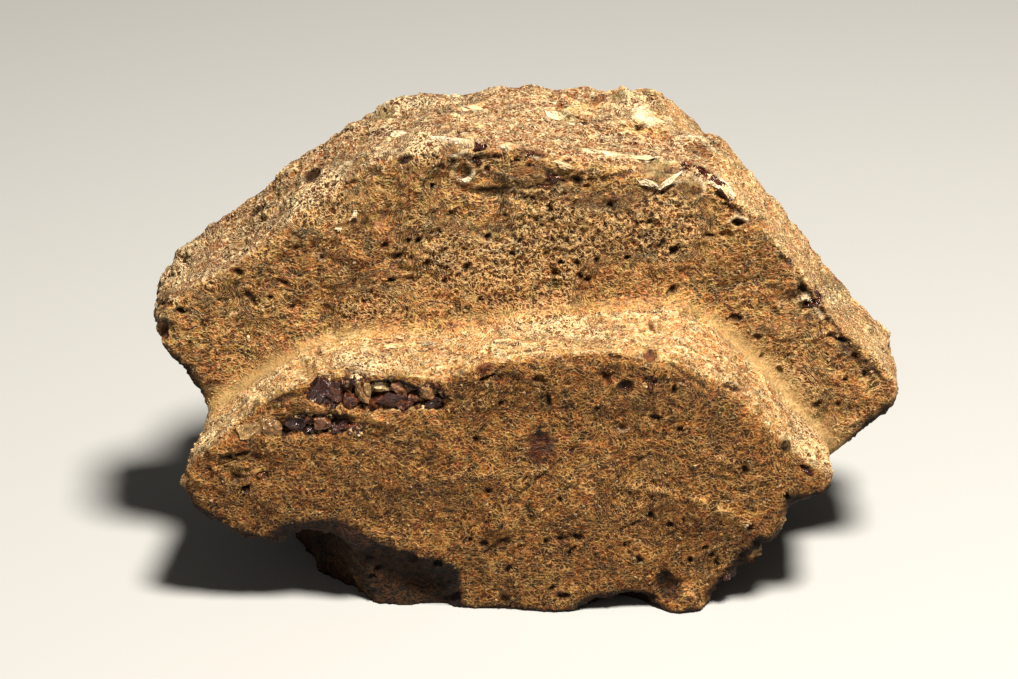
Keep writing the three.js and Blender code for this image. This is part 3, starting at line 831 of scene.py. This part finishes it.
# broken blocks of fresh mineral: pixel, half sizes in pixels, turn, how far back in mm, tone 0 to 1
blocks = [
    (317, 391, 11, 13, 5, 0.0, 0.12), (333, 387, 9, 12, -5, 0.1, 0.22), (326, 403, 11, 7, 0, 0.1, 0.05),
    (346, 385, 8, 10, 10, 0.1, 0.5), (350, 400, 11, 9, 0, 0.1, 0.35), (360, 389, 8, 13, 0, 0.1, 0.62),
    (367, 389, 3, 13, 5, -0.1, 0.8), (380, 384, 11, 8, -5, 0.0, 0.85), (374, 402, 8, 8, 15, 0.1, 0.3),
    (390, 400, 14, 9, -10, 0.1, 0.15), (406, 404, 9, 7, 0, 0.2, 0.28), (401, 388, 9, 8, -8, 0.1, 0.5),
    (424, 389, 14, 10, -8, 0.1, 0.62), (437, 403, 10, 7, 0, 0.4, 0.03), (413, 398, 7, 7, 0, 0.1, 0.4),
    (296, 423, 10, 8, 20, 0.3, 0.1), (309, 419, 8, 7, 0, 0.2, 0.3), (323, 421, 11, 8, 5, 0.1, 0.45),
    (339, 426, 11, 6, 0, 0.2, 0.15), (356, 427, 10, 5, -5, 0.2, 0.3), (313, 430, 10, 5, 0, 0.3, 0.08),
    (252, 431, 14, 9, 20, 0.2, 0.75), (272, 424, 10, 9, 10, 0.2, 0.65), (232, 461, 8, 4, 5, 0.5, 0.7),
    (256, 462, 8, 4, -5, 0.5, 0.3), (246, 489, 5, 3, 20, 0.3, 0.02), (263, 475, 6, 4, 0, 0.1, 0.45),
    (652, 383, 8, 5, -8, 0.6, 0.08), (626, 388, 8, 6, 20, 0.55, 0.12), (806, 471, 6, 4, -35, 0.5, 0.2),
    (726, 576, 5, 5, 0, 0.3, 0.1), (476, 160, 7, 4, -20, 0.2, 0.05), (552, 177, 7, 6, 0, 0.2, 0.2),
    (538, 175, 7, 6, 20, 0.1, 0.75), (545, 185, 9, 3, 0, 0.2, 0.4), (530, 154, 8, 4, -20, 0.3, 0.15),
    (481, 148, 6, 4, 0, 0.3, 0.1), (700, 172, 8, 4, -20, 0.2, 0.12), (717, 183, 8, 4, -35, 0.2, 0.2),
    (711, 178, 6, 2, -40, 0.0, 0.98), (725, 190, 6, 2, -50, 0.0, 0.98), (808, 303, 9, 4, 0, 0.4, 0.2),
    (816, 297, 7, 4, -50, 0.7, 0.15), (847, 345, 6, 4, 10, 0.4, 0.05), (738, 220, 5, 3, 0, 0.4, 0.1),
]
blockShape = {
    "corners": 14,
    "ring": 1.7,  # how far out the crust's level is read, in half sizes
    "depth": 0.6,  # half, mm
    "proud": 0.3,  # how deep the middle lies under the crust's rim, mm
    "steps": (0.45, 0.7, 0.3),  # the cleavage steps, mm
    "stepHeight": 0.28,
}


def breakBlocks(name, seed):
    # each block is the hull of a few random points, laid just proud of the crust round its pixel
    rng = np.random.default_rng(seed)
    count = blockShape["corners"]
    body, faces, tones = [], [], []
    for px, py, wide, tall, turn, back, tone in blocks:
        reach = blockShape["ring"]
        ring = [seatPixel(px + wide * reach * math.cos(a), py + tall * reach * math.sin(a))[1]
                for a in np.linspace(0, 2 * math.pi, 12, endpoint=False)]
        level = np.quantile(ring, 0.3) + blockShape["proud"] + back
        ray = pixelDirection(px, py)
        middle = eye + ray * (level - eye[1]) / ray[1]
        spots = rng.normal(size=(count, 3))
        spots /= np.max(np.abs(spots), axis=1, keepdims=True)
        spots *= rng.uniform(0.85, 1.2, (count, 1)) * (wide * 0.1, blockShape["depth"], tall * 0.1)
        right, up = turned(spots[:, 0], spots[:, 2], -turn)
        spots = np.stack([right, spots[:, 1], up], 1) + middle
        work = bmesh.new()
        hull = [work.verts.new(spot) for spot in np.clip(spots, boxLow, boxHigh)]
        bmesh.ops.convex_hull(work, input=hull)
        bmesh.ops.delete(work, geom=[v for v in work.verts if not v.link_faces], context="VERTS")
        bmesh.ops.subdivide_edges(work, edges=work.edges[:], cuts=3, use_grid_fill=True)
        bmesh.ops.triangulate(work, faces=work.faces[:])
        work.verts.index_update()
        spots = np.array([tuple(v.co) for v in work.verts])
        step = nearestCell(spots / blockShape["steps"], seed)[2]
        spots += blockShape["stepHeight"] * (np.random.default_rng(seed).random((256, 3))[step] - 0.5)
        faces += [[v.index + len(body) for v in face.verts] for face in work.faces]
        body += spots.tolist()
        tones += [tone] * len(spots)
        work.free()
    item = addObject(name, makeMesh(name, np.array(body), np.array(faces)))
    storeMask(item.data, "grain", np.array(tones))
    print(name, len(faces), "triangles")
    return item


blockPiece = breakBlocks("glassyBlocks", 120)

# thin flakes of bleached crust lying on the surface: how far they stand out in mm, outline in pixels
flakes = [
    (0.17, [(559, 146), (585, 149), (610, 153), (632, 155), (650, 156), (656, 158), (640, 161),
      (615, 163), (598, 161), (580, 156), (566, 151)]),
    (0.15, [(553, 160), (561, 160), (572, 165), (575, 168), (568, 170), (561, 168)]),
    (0.15, [(637, 179), (648, 180), (657, 183), (659, 187), (650, 187), (641, 184)]),
    (0.23, [(656, 188), (668, 179), (681, 171), (683, 173), (670, 183), (659, 190)]),
    (0.15, [(392, 132), (399, 130), (406, 133), (404, 137), (395, 138), (391, 136)]),
    (0.15, [(355, 207), (358, 210), (356, 217), (350, 221), (348, 219), (353, 214)]),
    (0.12, [(336, 227), (341, 226), (342, 230), (338, 232), (335, 230)]),
    (0.15, [(705, 179), (716, 183), (722, 188), (714, 187)]),
    (0.15, [(713, 182), (724, 188), (731, 195), (721, 190)]),
    (0.15, [(722, 185), (732, 190), (736, 197), (728, 193)]),
    (0.12, [(544, 111), (556, 112), (572, 118), (585, 125), (575, 126), (558, 120), (547, 116)]),
    (0.12, [(461, 107), (474, 105), (484, 109), (476, 112), (464, 111)]),
    (0.12, [(462, 179), (469, 177), (473, 180), (467, 184)]),
    (0.10, [(246, 336), (250, 335), (250, 340), (247, 341)]),
    (0.10, [(634, 114), (638, 111), (642, 114), (639, 118), (634, 117)]),
    (0.10, [(647, 109), (651, 110), (652, 115), (648, 116)]),
]


def layFlakes(name, seed):
    rng = np.random.default_rng(seed)
    shown = surfaceTree(points, triangles)
    body, faces = [], []
    for lift, outline in flakes:
        outline = np.array(outline, float)
        outline = np.concatenate([outline, (outline + np.roll(outline, -1, 0)) / 2], 1).reshape(-1, 2)
        outline += rng.uniform(-0.9, 0.9, outline.shape)
        middle = outline.mean(0)
        outline += rng.uniform(-0.8, 0.8, outline.shape)
        count = len(outline)
        pixels = [*outline, *(middle + 0.55 * (outline - middle)), middle]
        rings = []
        for px, py in pixels:
            spot = castPixel(shown, px, py)
            rings.append(rings[-1] if spot is None else spot)
        rings = np.array(rings)
        ray = pixelDirection(*middle)
        rings -= 0.4 * ray * ((rings - np.median(rings, axis=0)) @ ray)[:, None]
        front = rings - ray * lift * rng.uniform(0.5, 1.3, 2 * count + 1)[:, None]
        back = rings[:count] + ray * 0.6
        start = len(body)
        body += [*front, *back]
        hub = start + 2 * count
        for k in range(count):
            n = (k + 1) % count
            a, b, c, d = start + k, start + n, start + count + k, start + count + n
            e, f = hub + 1 + k, hub + 1 + n
            faces += [(a, d, b), (a, c, d), (c, hub, d), (a, b, f), (a, f, e)]
        faces += [(hub + 1, hub + 1 + k, hub + 2 + k) for k in range(1, count - 1)]
    item = addObject(name, makeMesh(name, np.clip(np.array(body), boxLow, boxHigh), np.array(faces)))
    for key in masks:
        storeMask(item.data, key, np.full(len(body), {"cream": 0.75, "cavity": 0.5}.get(key, 0.0)))
    print(name, len(faces), "triangles")
    return item


flakePiece = layFlakes("bleachedFlakes", 130)


def hexColour(text):
    # an sRGB hex colour as linear RGBA
    parts = [int(text[k:k + 2], 16) / 255 for k in (0, 2, 4)]
    return tuple(p / 12.92 if p <= 0.04045 else ((p + 0.055) / 1.055) ** 2.4 for p in parts) + (1,)


def newMaterial(name):
    material = bpy.data.materials.new(name)
    material.use_nodes = True
    material.node_tree.nodes.clear()
    return material, material.node_tree


def addNode(tree, kind, inputs=None, settings=None, stops=None):
    # one node, its inputs (a value, or a node or socket to link), its settings and its ramp's stops
    item = tree.nodes.new("ShaderNode" + kind)
    for key, value in (settings or {}).items():
        setattr(item, key, value)
    for key, value in (inputs or {}).items():
        if isinstance(value, bpy.types.Node):
            value = next(output for output in value.outputs if output.enabled)
        if isinstance(value, bpy.types.NodeSocket):
            tree.links.new(value, item.inputs[key])
        else:
            item.inputs[key].default_value = value
    if stops:
        ramp = item.color_ramp.elements
        while len(ramp) < len(stops):
            ramp.new(1)
        for element, (position, colour) in zip(ramp, stops):
            element.position = position
            element.color = hexColour(colour)
    return item


def leaningChips(tree, place, size):
    # flat chips, size in mm, each leaning its own way
    chips = addNode(tree, "TexVoronoi", {"Vector": place, "Scale": 1 / (size * mm)})
    away, lean = (addNode(tree, "VectorMath", {0: a, 1: b}, {"operation": "SUBTRACT"}) for a, b in (
        (place, chips.outputs["Position"]), (chips.outputs["Color"], (0.5,) * 3)))
    return addNode(tree, "VectorMath", {0: away, 1: lean}, {"operation": "DOT_PRODUCT"})


crustFinish = {
    "noises": {  # mm across one lump, detail, roughness
        "curl": (2.4, 1, 0.5), "bend": (0.4, 1, 0.6), "grit": (0.2, 2, 0.7), "patches": (3.0, 4, 0.62),
        "stains": (1.5, 3, 0.66), "specks": (0.32, 1, 0.6),
        # single crystals are finer than the render shows, so they are drawn 0.18 mm wide
        "crystals": (0.18, 2, 0.6),
        "streaks": (0.6, 4, 0.65),
    },
    "streakScale": (0.2, 1, 0.2),  # the thin layers' edges are drawn out along the prism faces
    "threadSpacing": 0.4,  # mm
    "threadEdges": (0.02, 0.23),  # of the spacing: full up to the first, gone at the second
    "hollowSpacing": 0.6,  # between the hollows of the porous patches, mm
    "bends": (("curl", 2.4), ("bend", 0.8)),  # how far each moves the threads, mm
    "chipSize": 0.8,  # mm
    "bumpDepth": 0.16,  # mm
    # bleached threads, partly painted highlight on the raised threads and crests
    "bleachedAndLit": ("fce2ac", "cc9f62"),  # on the pale crust, on the brown front
    # painted highlights: small glints on the crust
    "glints": ("fce6bc", "d0a468"),
    # flat colours multiplied in: rear darkens the prism faces behind the front crystal; pits and sunk are
    # painted shade in hollows
    "washes": {"rear": "b8a27e", "pits": "7c5a34", "sunk": "64482c"},
    "tones": {  # what varies each, and its colours
        "basal": ("patches", [(0.32, "b08b51"), (0.41, "cfa15e"), (0.49, "dcb26e"), (0.57, "cfa463"),
                              (0.65, "ecc581"), (0.74, "b99062")]),
        "prism": ("patches", [(0.32, "886435"), (0.41, "a5793f"), (0.49, "b4894f"), (0.57, "aa7f47"),
                              (0.65, "c29b62"), (0.74, "986c39")]),
        "streak": ("streaks", [(0.33, "7c6644"), (0.44, "d4c4a8"), (0.52, "ffffff"), (0.6, "fff8ec"),
                               (0.68, "c4ac88")]),
        "front": ("patches", [(0.33, "6e4c1f"), (0.41, "7f5622"), (0.47, "8f622a"), (0.52, "835c2a"),
                              (0.57, "93672d"), (0.62, "845b27"), (0.70, "79552c")]),
        "sand": ("patches", [(0.4, "e4b878"), (0.6, "fcdcac")]),
        "ash": ("patches", [(0.35, "74664a"), (0.5, "9c8a68"), (0.62, "8a785c")]),
        "rust": ("stains", [(0.35, "402816"), (0.5, "6c4622"), (0.65, "94602c")]),
        "shade": ("stains", [(0.35, "18110a"), (0.55, "382516"), (0.7, "30342a")]),
        "vein": ("stains", [(0.35, "341a14"), (0.5, "5a3424"), (0.65, "785236")]),
        # painted shade on faces turned down and in the cove
        "underShade": ("patches", [(0.38, "100805"), (0.5, "28160b"), (0.62, "1c1208")]),
        # stains from olive-grey to orange and purple-grey
        "stain": ("stains", [(0.32, "b4ac8c"), (0.40, "e0dac0"), (0.47, "ffffff"), (0.55, "fff6e8"),
                             (0.60, "f0dcc0"), (0.64, "e6dccc"), (0.72, "c8b4a8")]),
        "speck": ("specks", [(0.30, "74583a"), (0.38, "f0e8d8"), (0.60, "ffffff"), (0.67, "ffecc4"),
                             (0.76, "f4dca8")]),
        "crystal": ("crystals", [(0.32, "684418"), (0.42, "dcb880"), (0.50, "ffffff"), (0.62, "fff8f0")]),
        # painted shade in the low parts of the bump's relief and painted highlight on its high parts
        "relief": ("relief", [(0.36, "604628"), (0.50, "a88c66"), (0.75, "e4d0a8"), (1.0, "fffae4")]),
        "grain": ("grain", [(0.0, "a47a40"), (0.2, "c49c5c"), (0.4, "a87c40"), (0.55, "e4c890"),
                            (0.68, "7c5c30"), (0.78, "a06424"), (0.86, "6c5c34"), (0.95, "ecd8a8")]),
        "cream": ("patches", [(0.35, "d8bc8c"), (0.5, "ecd8b0"), (0.65, "f6ead0")]),
        # the corner's powder, its darker tone partly painted shade
        "powderAndShade": ("patches", [(0.35, "8a6f42"), (0.6, "a48450")]),
    },
    "shares": {  # what each follows, between which values, and what it gives at them
        "sandShare": ("sand", 0, 1, 0, 0.6), "ashShare": ("ash", 0, 1, 0, 0.65),
        "rustShare": ("rust", 0, 1, 0, 0.8), "shadeShare": ("shade", 0, 1, 0, 0.85),
        "veinShare": ("vein", 0, 1, 0, 0.9), "underShadeShare": ("underShade", 0, 1, 0, 0.95),
        "creamShare": ("cream", 0, 1, 0, 0.8), "powderAndShadeShare": ("powderAndShade", 0.2, 1, 0, 0.65),
        "fleckShare": ("prism", 0, 1, 0.55, 0.3),  # the prism faces are less speckled
        "crystalShare": ("prism", 0, 1, 0.85, 0.55),
        "reliefShare": ("powderAndShade", 0, 1, 0.85, 0.2),
        "bleachedPatch": ("bleachNoise", 0.42, 0.62, 0.15, 0.45),
        "raisedThread": ("threads", 0.6, 1, 0, 1),
        # glint, crest, pit and sunk place painted highlights and painted shade
        "glint": ("crystals", 0.56, 0.70, 0, 0.6),
        "pit": ("threads", 0.45, 0, 0, 1),
        "crest": ("cavity", 0.42, 0.1, 0, 0.4),
        "sunk": ("cavity", 0.58, 1, 0, 0.65),
        "grainShare": ("isGrain", 0, 1, 0, 0.25),
        "roughness": ("gloss", 0, 1, 0.78, 0.5),
        "bumpShare": ("powderAndShade", 0, 1, 1, 0.45),
    },
    "joined": [  # a share made of two others
        ("rearPrism", "MULTIPLY", "prism", "rear"), ("porousShare", "MULTIPLY", "porous", 0.6),
        ("bleachedPatch", "MAXIMUM", "bleachedPatch", "porousShare"),
        ("bleachedPatch", "MAXIMUM", "bleachedPatch", "bleach"),
        ("bleachedAndLit", "MULTIPLY", "raisedThread", "bleachedPatch"),
        ("bleachedAndLit", "MULTIPLY", "bleachedAndLit", "crust"), ("glint", "MULTIPLY", "glint", "crust"),
        ("pit", "MULTIPLY", "pit", "porousShare"), ("crest", "MULTIPLY", "crest", "crust"),
    ],
    "layers": [  # blend, share and tone of each, from the bottom up
        ("MIX", "prism", "prism"), ("MULTIPLY", "rearPrism", "rear"), ("MIX", "brown", "front"),
        # what the crust is made of here and there
        ("MIX", "sandShare", "sand"), ("MIX", "ashShare", "ash"), ("MIX", "rustShare", "rust"),
        ("MIX", "shadeShare", "shade"), ("MIX", "veinShare", "vein"), ("MIX", "underShadeShare", "underShade"),
        # stains, specks, and single crystals with dark gaps between them
        ("MULTIPLY", 0.7, "stain"), ("MULTIPLY", 0.6, "speck"), ("OVERLAY", "fleckShare", "specks"),
        ("OVERLAY", 0.4, "stains"), ("MULTIPLY", "crystalShare", "crystal"),
        # painted shade in the relief's hollows and painted highlight on its threads, painted glints, painted
        # shade in pits and hollows and painted highlight on crests; here and there a thread is also bleached
        ("MULTIPLY", "reliefShare", "relief"), ("MIX", "bleachedAndLit", "bleachedAndLit"), ("MIX", "glint", "glints"),
        ("MULTIPLY", "pit", "pits"), ("MIX", "crest", "bleachedAndLit"), ("MULTIPLY", "sunk", "sunk"),
        # films that lie over the grain; the corner's powder is toned darker, partly painted shade
        ("MIX", "grainShare", "grain"), ("MIX", "creamShare", "cream"), ("MIX", "powderAndShadeShare", "powderAndShade"),
    ],
}


def weatheredBastnasite():
    # bastnasite weathered to a crust of fine crumbs: matt, tan to ochre, with rusty, olive and
    # purple-brown stains, so it looks dry and speckled; cream films and grey glass show in places
    # its colour also holds painted shade in hollows, on faces turned down and in the cove, and painted
    # highlights on crests, threads and glints
    material, tree = newMaterial("weatheredBastnasite")
    place = addNode(tree, "TexCoord").outputs["Object"]
    part = {name: addNode(tree, "Attribute", settings={"attribute_name": name}).outputs["Fac"]
            for name in (*masks, "grain")}
    drawnOut = addNode(tree, "Mapping", {"Vector": place, "Scale": crustFinish["streakScale"]})
    for name, (size, detail, rough) in crustFinish["noises"].items():
        part[name] = addNode(tree, "TexNoise", {
            "Vector": drawnOut if name == "streaks" else place,
            "Scale": 1 / (size * mm), "Detail": detail, "Roughness": rough})

    # threads in rows that curl; in the porous patches they are walls round little hollows
    moved = []
    for name, reach in crustFinish["bends"]:
        away = addNode(tree, "VectorMath", {0: part[name].outputs["Color"], 1: (0.5,) * 3},
                       {"operation": "SUBTRACT"})
        moved.append(addNode(tree, "VectorMath", {0: away, 1: (reach * mm,) * 3, 2: place},
                             {"operation": "MULTIPLY_ADD"}))
    spacing = crustFinish["threadSpacing"]
    rows = addNode(tree, "Mapping", {"Vector": moved[0], "Scale": (0.5, 1, 0.9)})
    sponge = addNode(tree, "Mapping", {
        "Vector": moved[1], "Scale": (spacing / crustFinish["hollowSpacing"],) * 3})
    cellPlace = addNode(tree, "Mix", {"Factor": part["porous"], "A": rows, "B": sponge},
                        {"data_type": "VECTOR"})
    cells = addNode(tree, "TexVoronoi", {"Vector": cellPlace, "Scale": 1 / (spacing * mm)},
                    {"feature": "DISTANCE_TO_EDGE"})
    full, gone = crustFinish["threadEdges"]
    part["threads"] = addNode(tree, "MapRange", {
        "Value": cells, "From Min": full, "From Max": gone, "To Min": 1.0, "To Max": 0.0})
    layerEdges = addNode(tree, "Math", {0: part["streaks"], 1: part["prism"]}, {"operation": "MULTIPLY"})
    chips = leaningChips(tree, rows, crustFinish["chipSize"])
    part["relief"] = part["grit"]
    for bumps, height in ((part["threads"], 0.42), (chips, 2.0 / mm), (layerEdges, 1)):
        part["relief"] = addNode(tree, "Math", {0: bumps, 1: height, 2: part["relief"]},
                                 {"operation": "MULTIPLY_ADD"})

    part["bleachNoise"] = addNode(tree, "SeparateColor", {
        "Color": part["stains"].outputs["Color"]}).outputs["Green"]
    part["isGrain"] = addNode(tree, "Math", {0: part["grain"], 1: 0.0005}, {"operation": "GREATER_THAN"})
    part["gloss"] = addNode(tree, "Math", {0: part["vein"], 1: part["ash"]}, {"operation": "MAXIMUM"})
    for name, (cause, *ends) in crustFinish["shares"].items():
        ends = dict(zip(("From Min", "From Max", "To Min", "To Max"), ends))
        part[name] = addNode(tree, "MapRange", {"Value": part[cause], **ends})
    for name, way, first, second in crustFinish["joined"]:
        part[name] = addNode(tree, "Math", {0: part[first], 1: part.get(second, second)}, {"operation": way})

    tones = {name: hexColour(text) for name, text in crustFinish["washes"].items()}
    for name, (cause, stops) in crustFinish["tones"].items():
        tones[name] = addNode(tree, "ValToRGB", {"Fac": part[cause]}, stops=stops)
    for name in ("bleachedAndLit", "glints"):
        litRightSide, brown = (hexColour(text) for text in crustFinish[name])
        tones[name] = addNode(tree, "Mix", {"Factor": part["brown"], "A": litRightSide, "B": brown},
                              {"data_type": "RGBA"})
    for name in ("specks", "stains"):
        tones[name] = part[name].outputs["Color"]
    # the prism faces are streaked by their layers
    tones["prism"] = addNode(tree, "Mix", {"Factor": 0.85, "A": tones["prism"], "B": tones["streak"]},
                             {"data_type": "RGBA", "blend_type": "MULTIPLY"})
    colour = tones["basal"]
    for blend, share, tone in crustFinish["layers"]:
        colour = addNode(tree, "Mix", {"Factor": part.get(share, share), "A": colour, "B": tones[tone]},
                         {"data_type": "RGBA", "blend_type": blend})
    bump = addNode(tree, "Bump", {
        "Height": part["relief"], "Distance": crustFinish["bumpDepth"] * mm, "Strength": part["bumpShare"]})
    shader = addNode(tree, "BsdfPrincipled", {
        "Base Color": colour, "Roughness": part["roughness"], "IOR": 1.5, "Specular IOR Level": 0.22,
        "Normal": bump})
    addNode(tree, "OutputMaterial", {"Surface": shader})
    return material


glassFinish = {
    "cloudSize": 0.5,  # mm
    "tones": [(0.0, "240c06"), (0.2, "3e180c"), (0.35, "5a2c16"), (0.5, "784a2a"), (0.65, "8c6438"),
              (0.8, "a07c4a"), (0.95, "d4b484")],
    "stepSize": 0.35,  # mm
    "stepDepth": 0.25,  # mm
}


def glassyBastnasite():
    # fresh bastnasite, broken: vitreous to greasy, dark red-brown to purple, so its faces glint;
    # each block's tone is stored in it, and fine cleavage steps break up its faces
    material, tree = newMaterial("glassyBastnasite")
    grain = addNode(tree, "Attribute", settings={"attribute_name": "grain"}).outputs["Fac"]
    place = addNode(tree, "TexCoord").outputs["Object"]
    cloud = addNode(tree, "TexNoise", {
        "Vector": place, "Scale": 1 / (glassFinish["cloudSize"] * mm), "Detail": 4, "Roughness": 0.7})
    mixed = addNode(tree, "Math", {0: cloud, 1: 0.6, 2: grain}, {"operation": "MULTIPLY_ADD"})
    mixed = addNode(tree, "Math", {0: mixed, 1: 0.3}, {"operation": "SUBTRACT"})
    tone = addNode(tree, "ValToRGB", {"Fac": mixed}, stops=glassFinish["tones"])
    chips = leaningChips(tree, place, glassFinish["stepSize"])
    steps = addNode(tree, "Math", {0: chips, 1: 4.0 / mm, 2: cloud}, {"operation": "MULTIPLY_ADD"})
    bump = addNode(tree, "Bump", {"Height": steps, "Distance": glassFinish["stepDepth"] * mm})
    shader = addNode(tree, "BsdfPrincipled", {
        "Base Color": tone, "Roughness": 0.14, "IOR": 1.72, "Specular IOR Level": 0.4, "Normal": bump})
    addNode(tree, "OutputMaterial", {"Surface": shader})
    return material


crustPieces = [*crystalPieces, *crumbPieces, flakePiece]
glassPieces = [glassyPiece, blockPiece]
for pieces, material in ((crustPieces, weatheredBastnasite()), (glassPieces, glassyBastnasite())):
    for item in pieces:
        item.data.materials.append(material)
for item in (*crustPieces, *glassPieces):
    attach(item, "root")
for item in crystalPieces:
    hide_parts("crystals")
print("materials made")

studio = {
    "floorColour": "a9a7a2",
    "floorReach": 1500,  # mm
    "lights": {  # place and size in metres, power in watts, colour
        "keyLight": ((0.09, -0.13, 0.40), 0.10, 4.7, (1, 0.97, 0.92)),
        "fillLight": ((-0.25, -0.45, 0.25), 0.4, 0.10, (1, 1, 1)),
    },
    "lightAim": (0, 0, 0.02),
    "worldColour": (1, 0.97, 0.93, 1),
    "worldStrength": 0.08,
}


def addFloor():
    reach = studio["floorReach"]
    corner = np.array([(-reach, -reach, 0), (reach, -reach, 0), (reach, reach, 0), (-reach, reach, 0)])
    floor = addObject("studioFloor", makeMesh("studioFloor", corner, np.array([(0, 1, 2), (0, 2, 3)])))
    material, tree = newMaterial("paperFloor")
    shader = addNode(tree, "BsdfPrincipled", {
        "Base Color": hexColour(studio["floorColour"]), "Roughness": 0.9})
    addNode(tree, "OutputMaterial", {"Surface": shader})
    floor.data.materials.append(material)


def addAreaLight(name, place, size, power, colour):
    data = bpy.data.lights.new(name, "AREA")
    data.shape = "DISK"
    data.size, data.energy, data.color = size, power, colour
    item = addObject(name, data)
    item.location = place
    item.rotation_euler = (Vector(studio["lightAim"]) - Vector(place)).to_track_quat("-Z", "Y").to_euler()


addFloor()
for name, light in studio["lights"].items():
    addAreaLight(name, *light)
world = bpy.data.worlds.new("studioWorld")
world.use_nodes = True
background = world.node_tree.nodes["Background"].inputs
background["Color"].default_value = studio["worldColour"]
background["Strength"].default_value = studio["worldStrength"]
bpy.context.scene.world = world
bpy.context.scene.view_settings.view_transform = "Standard"

print("scene ready")
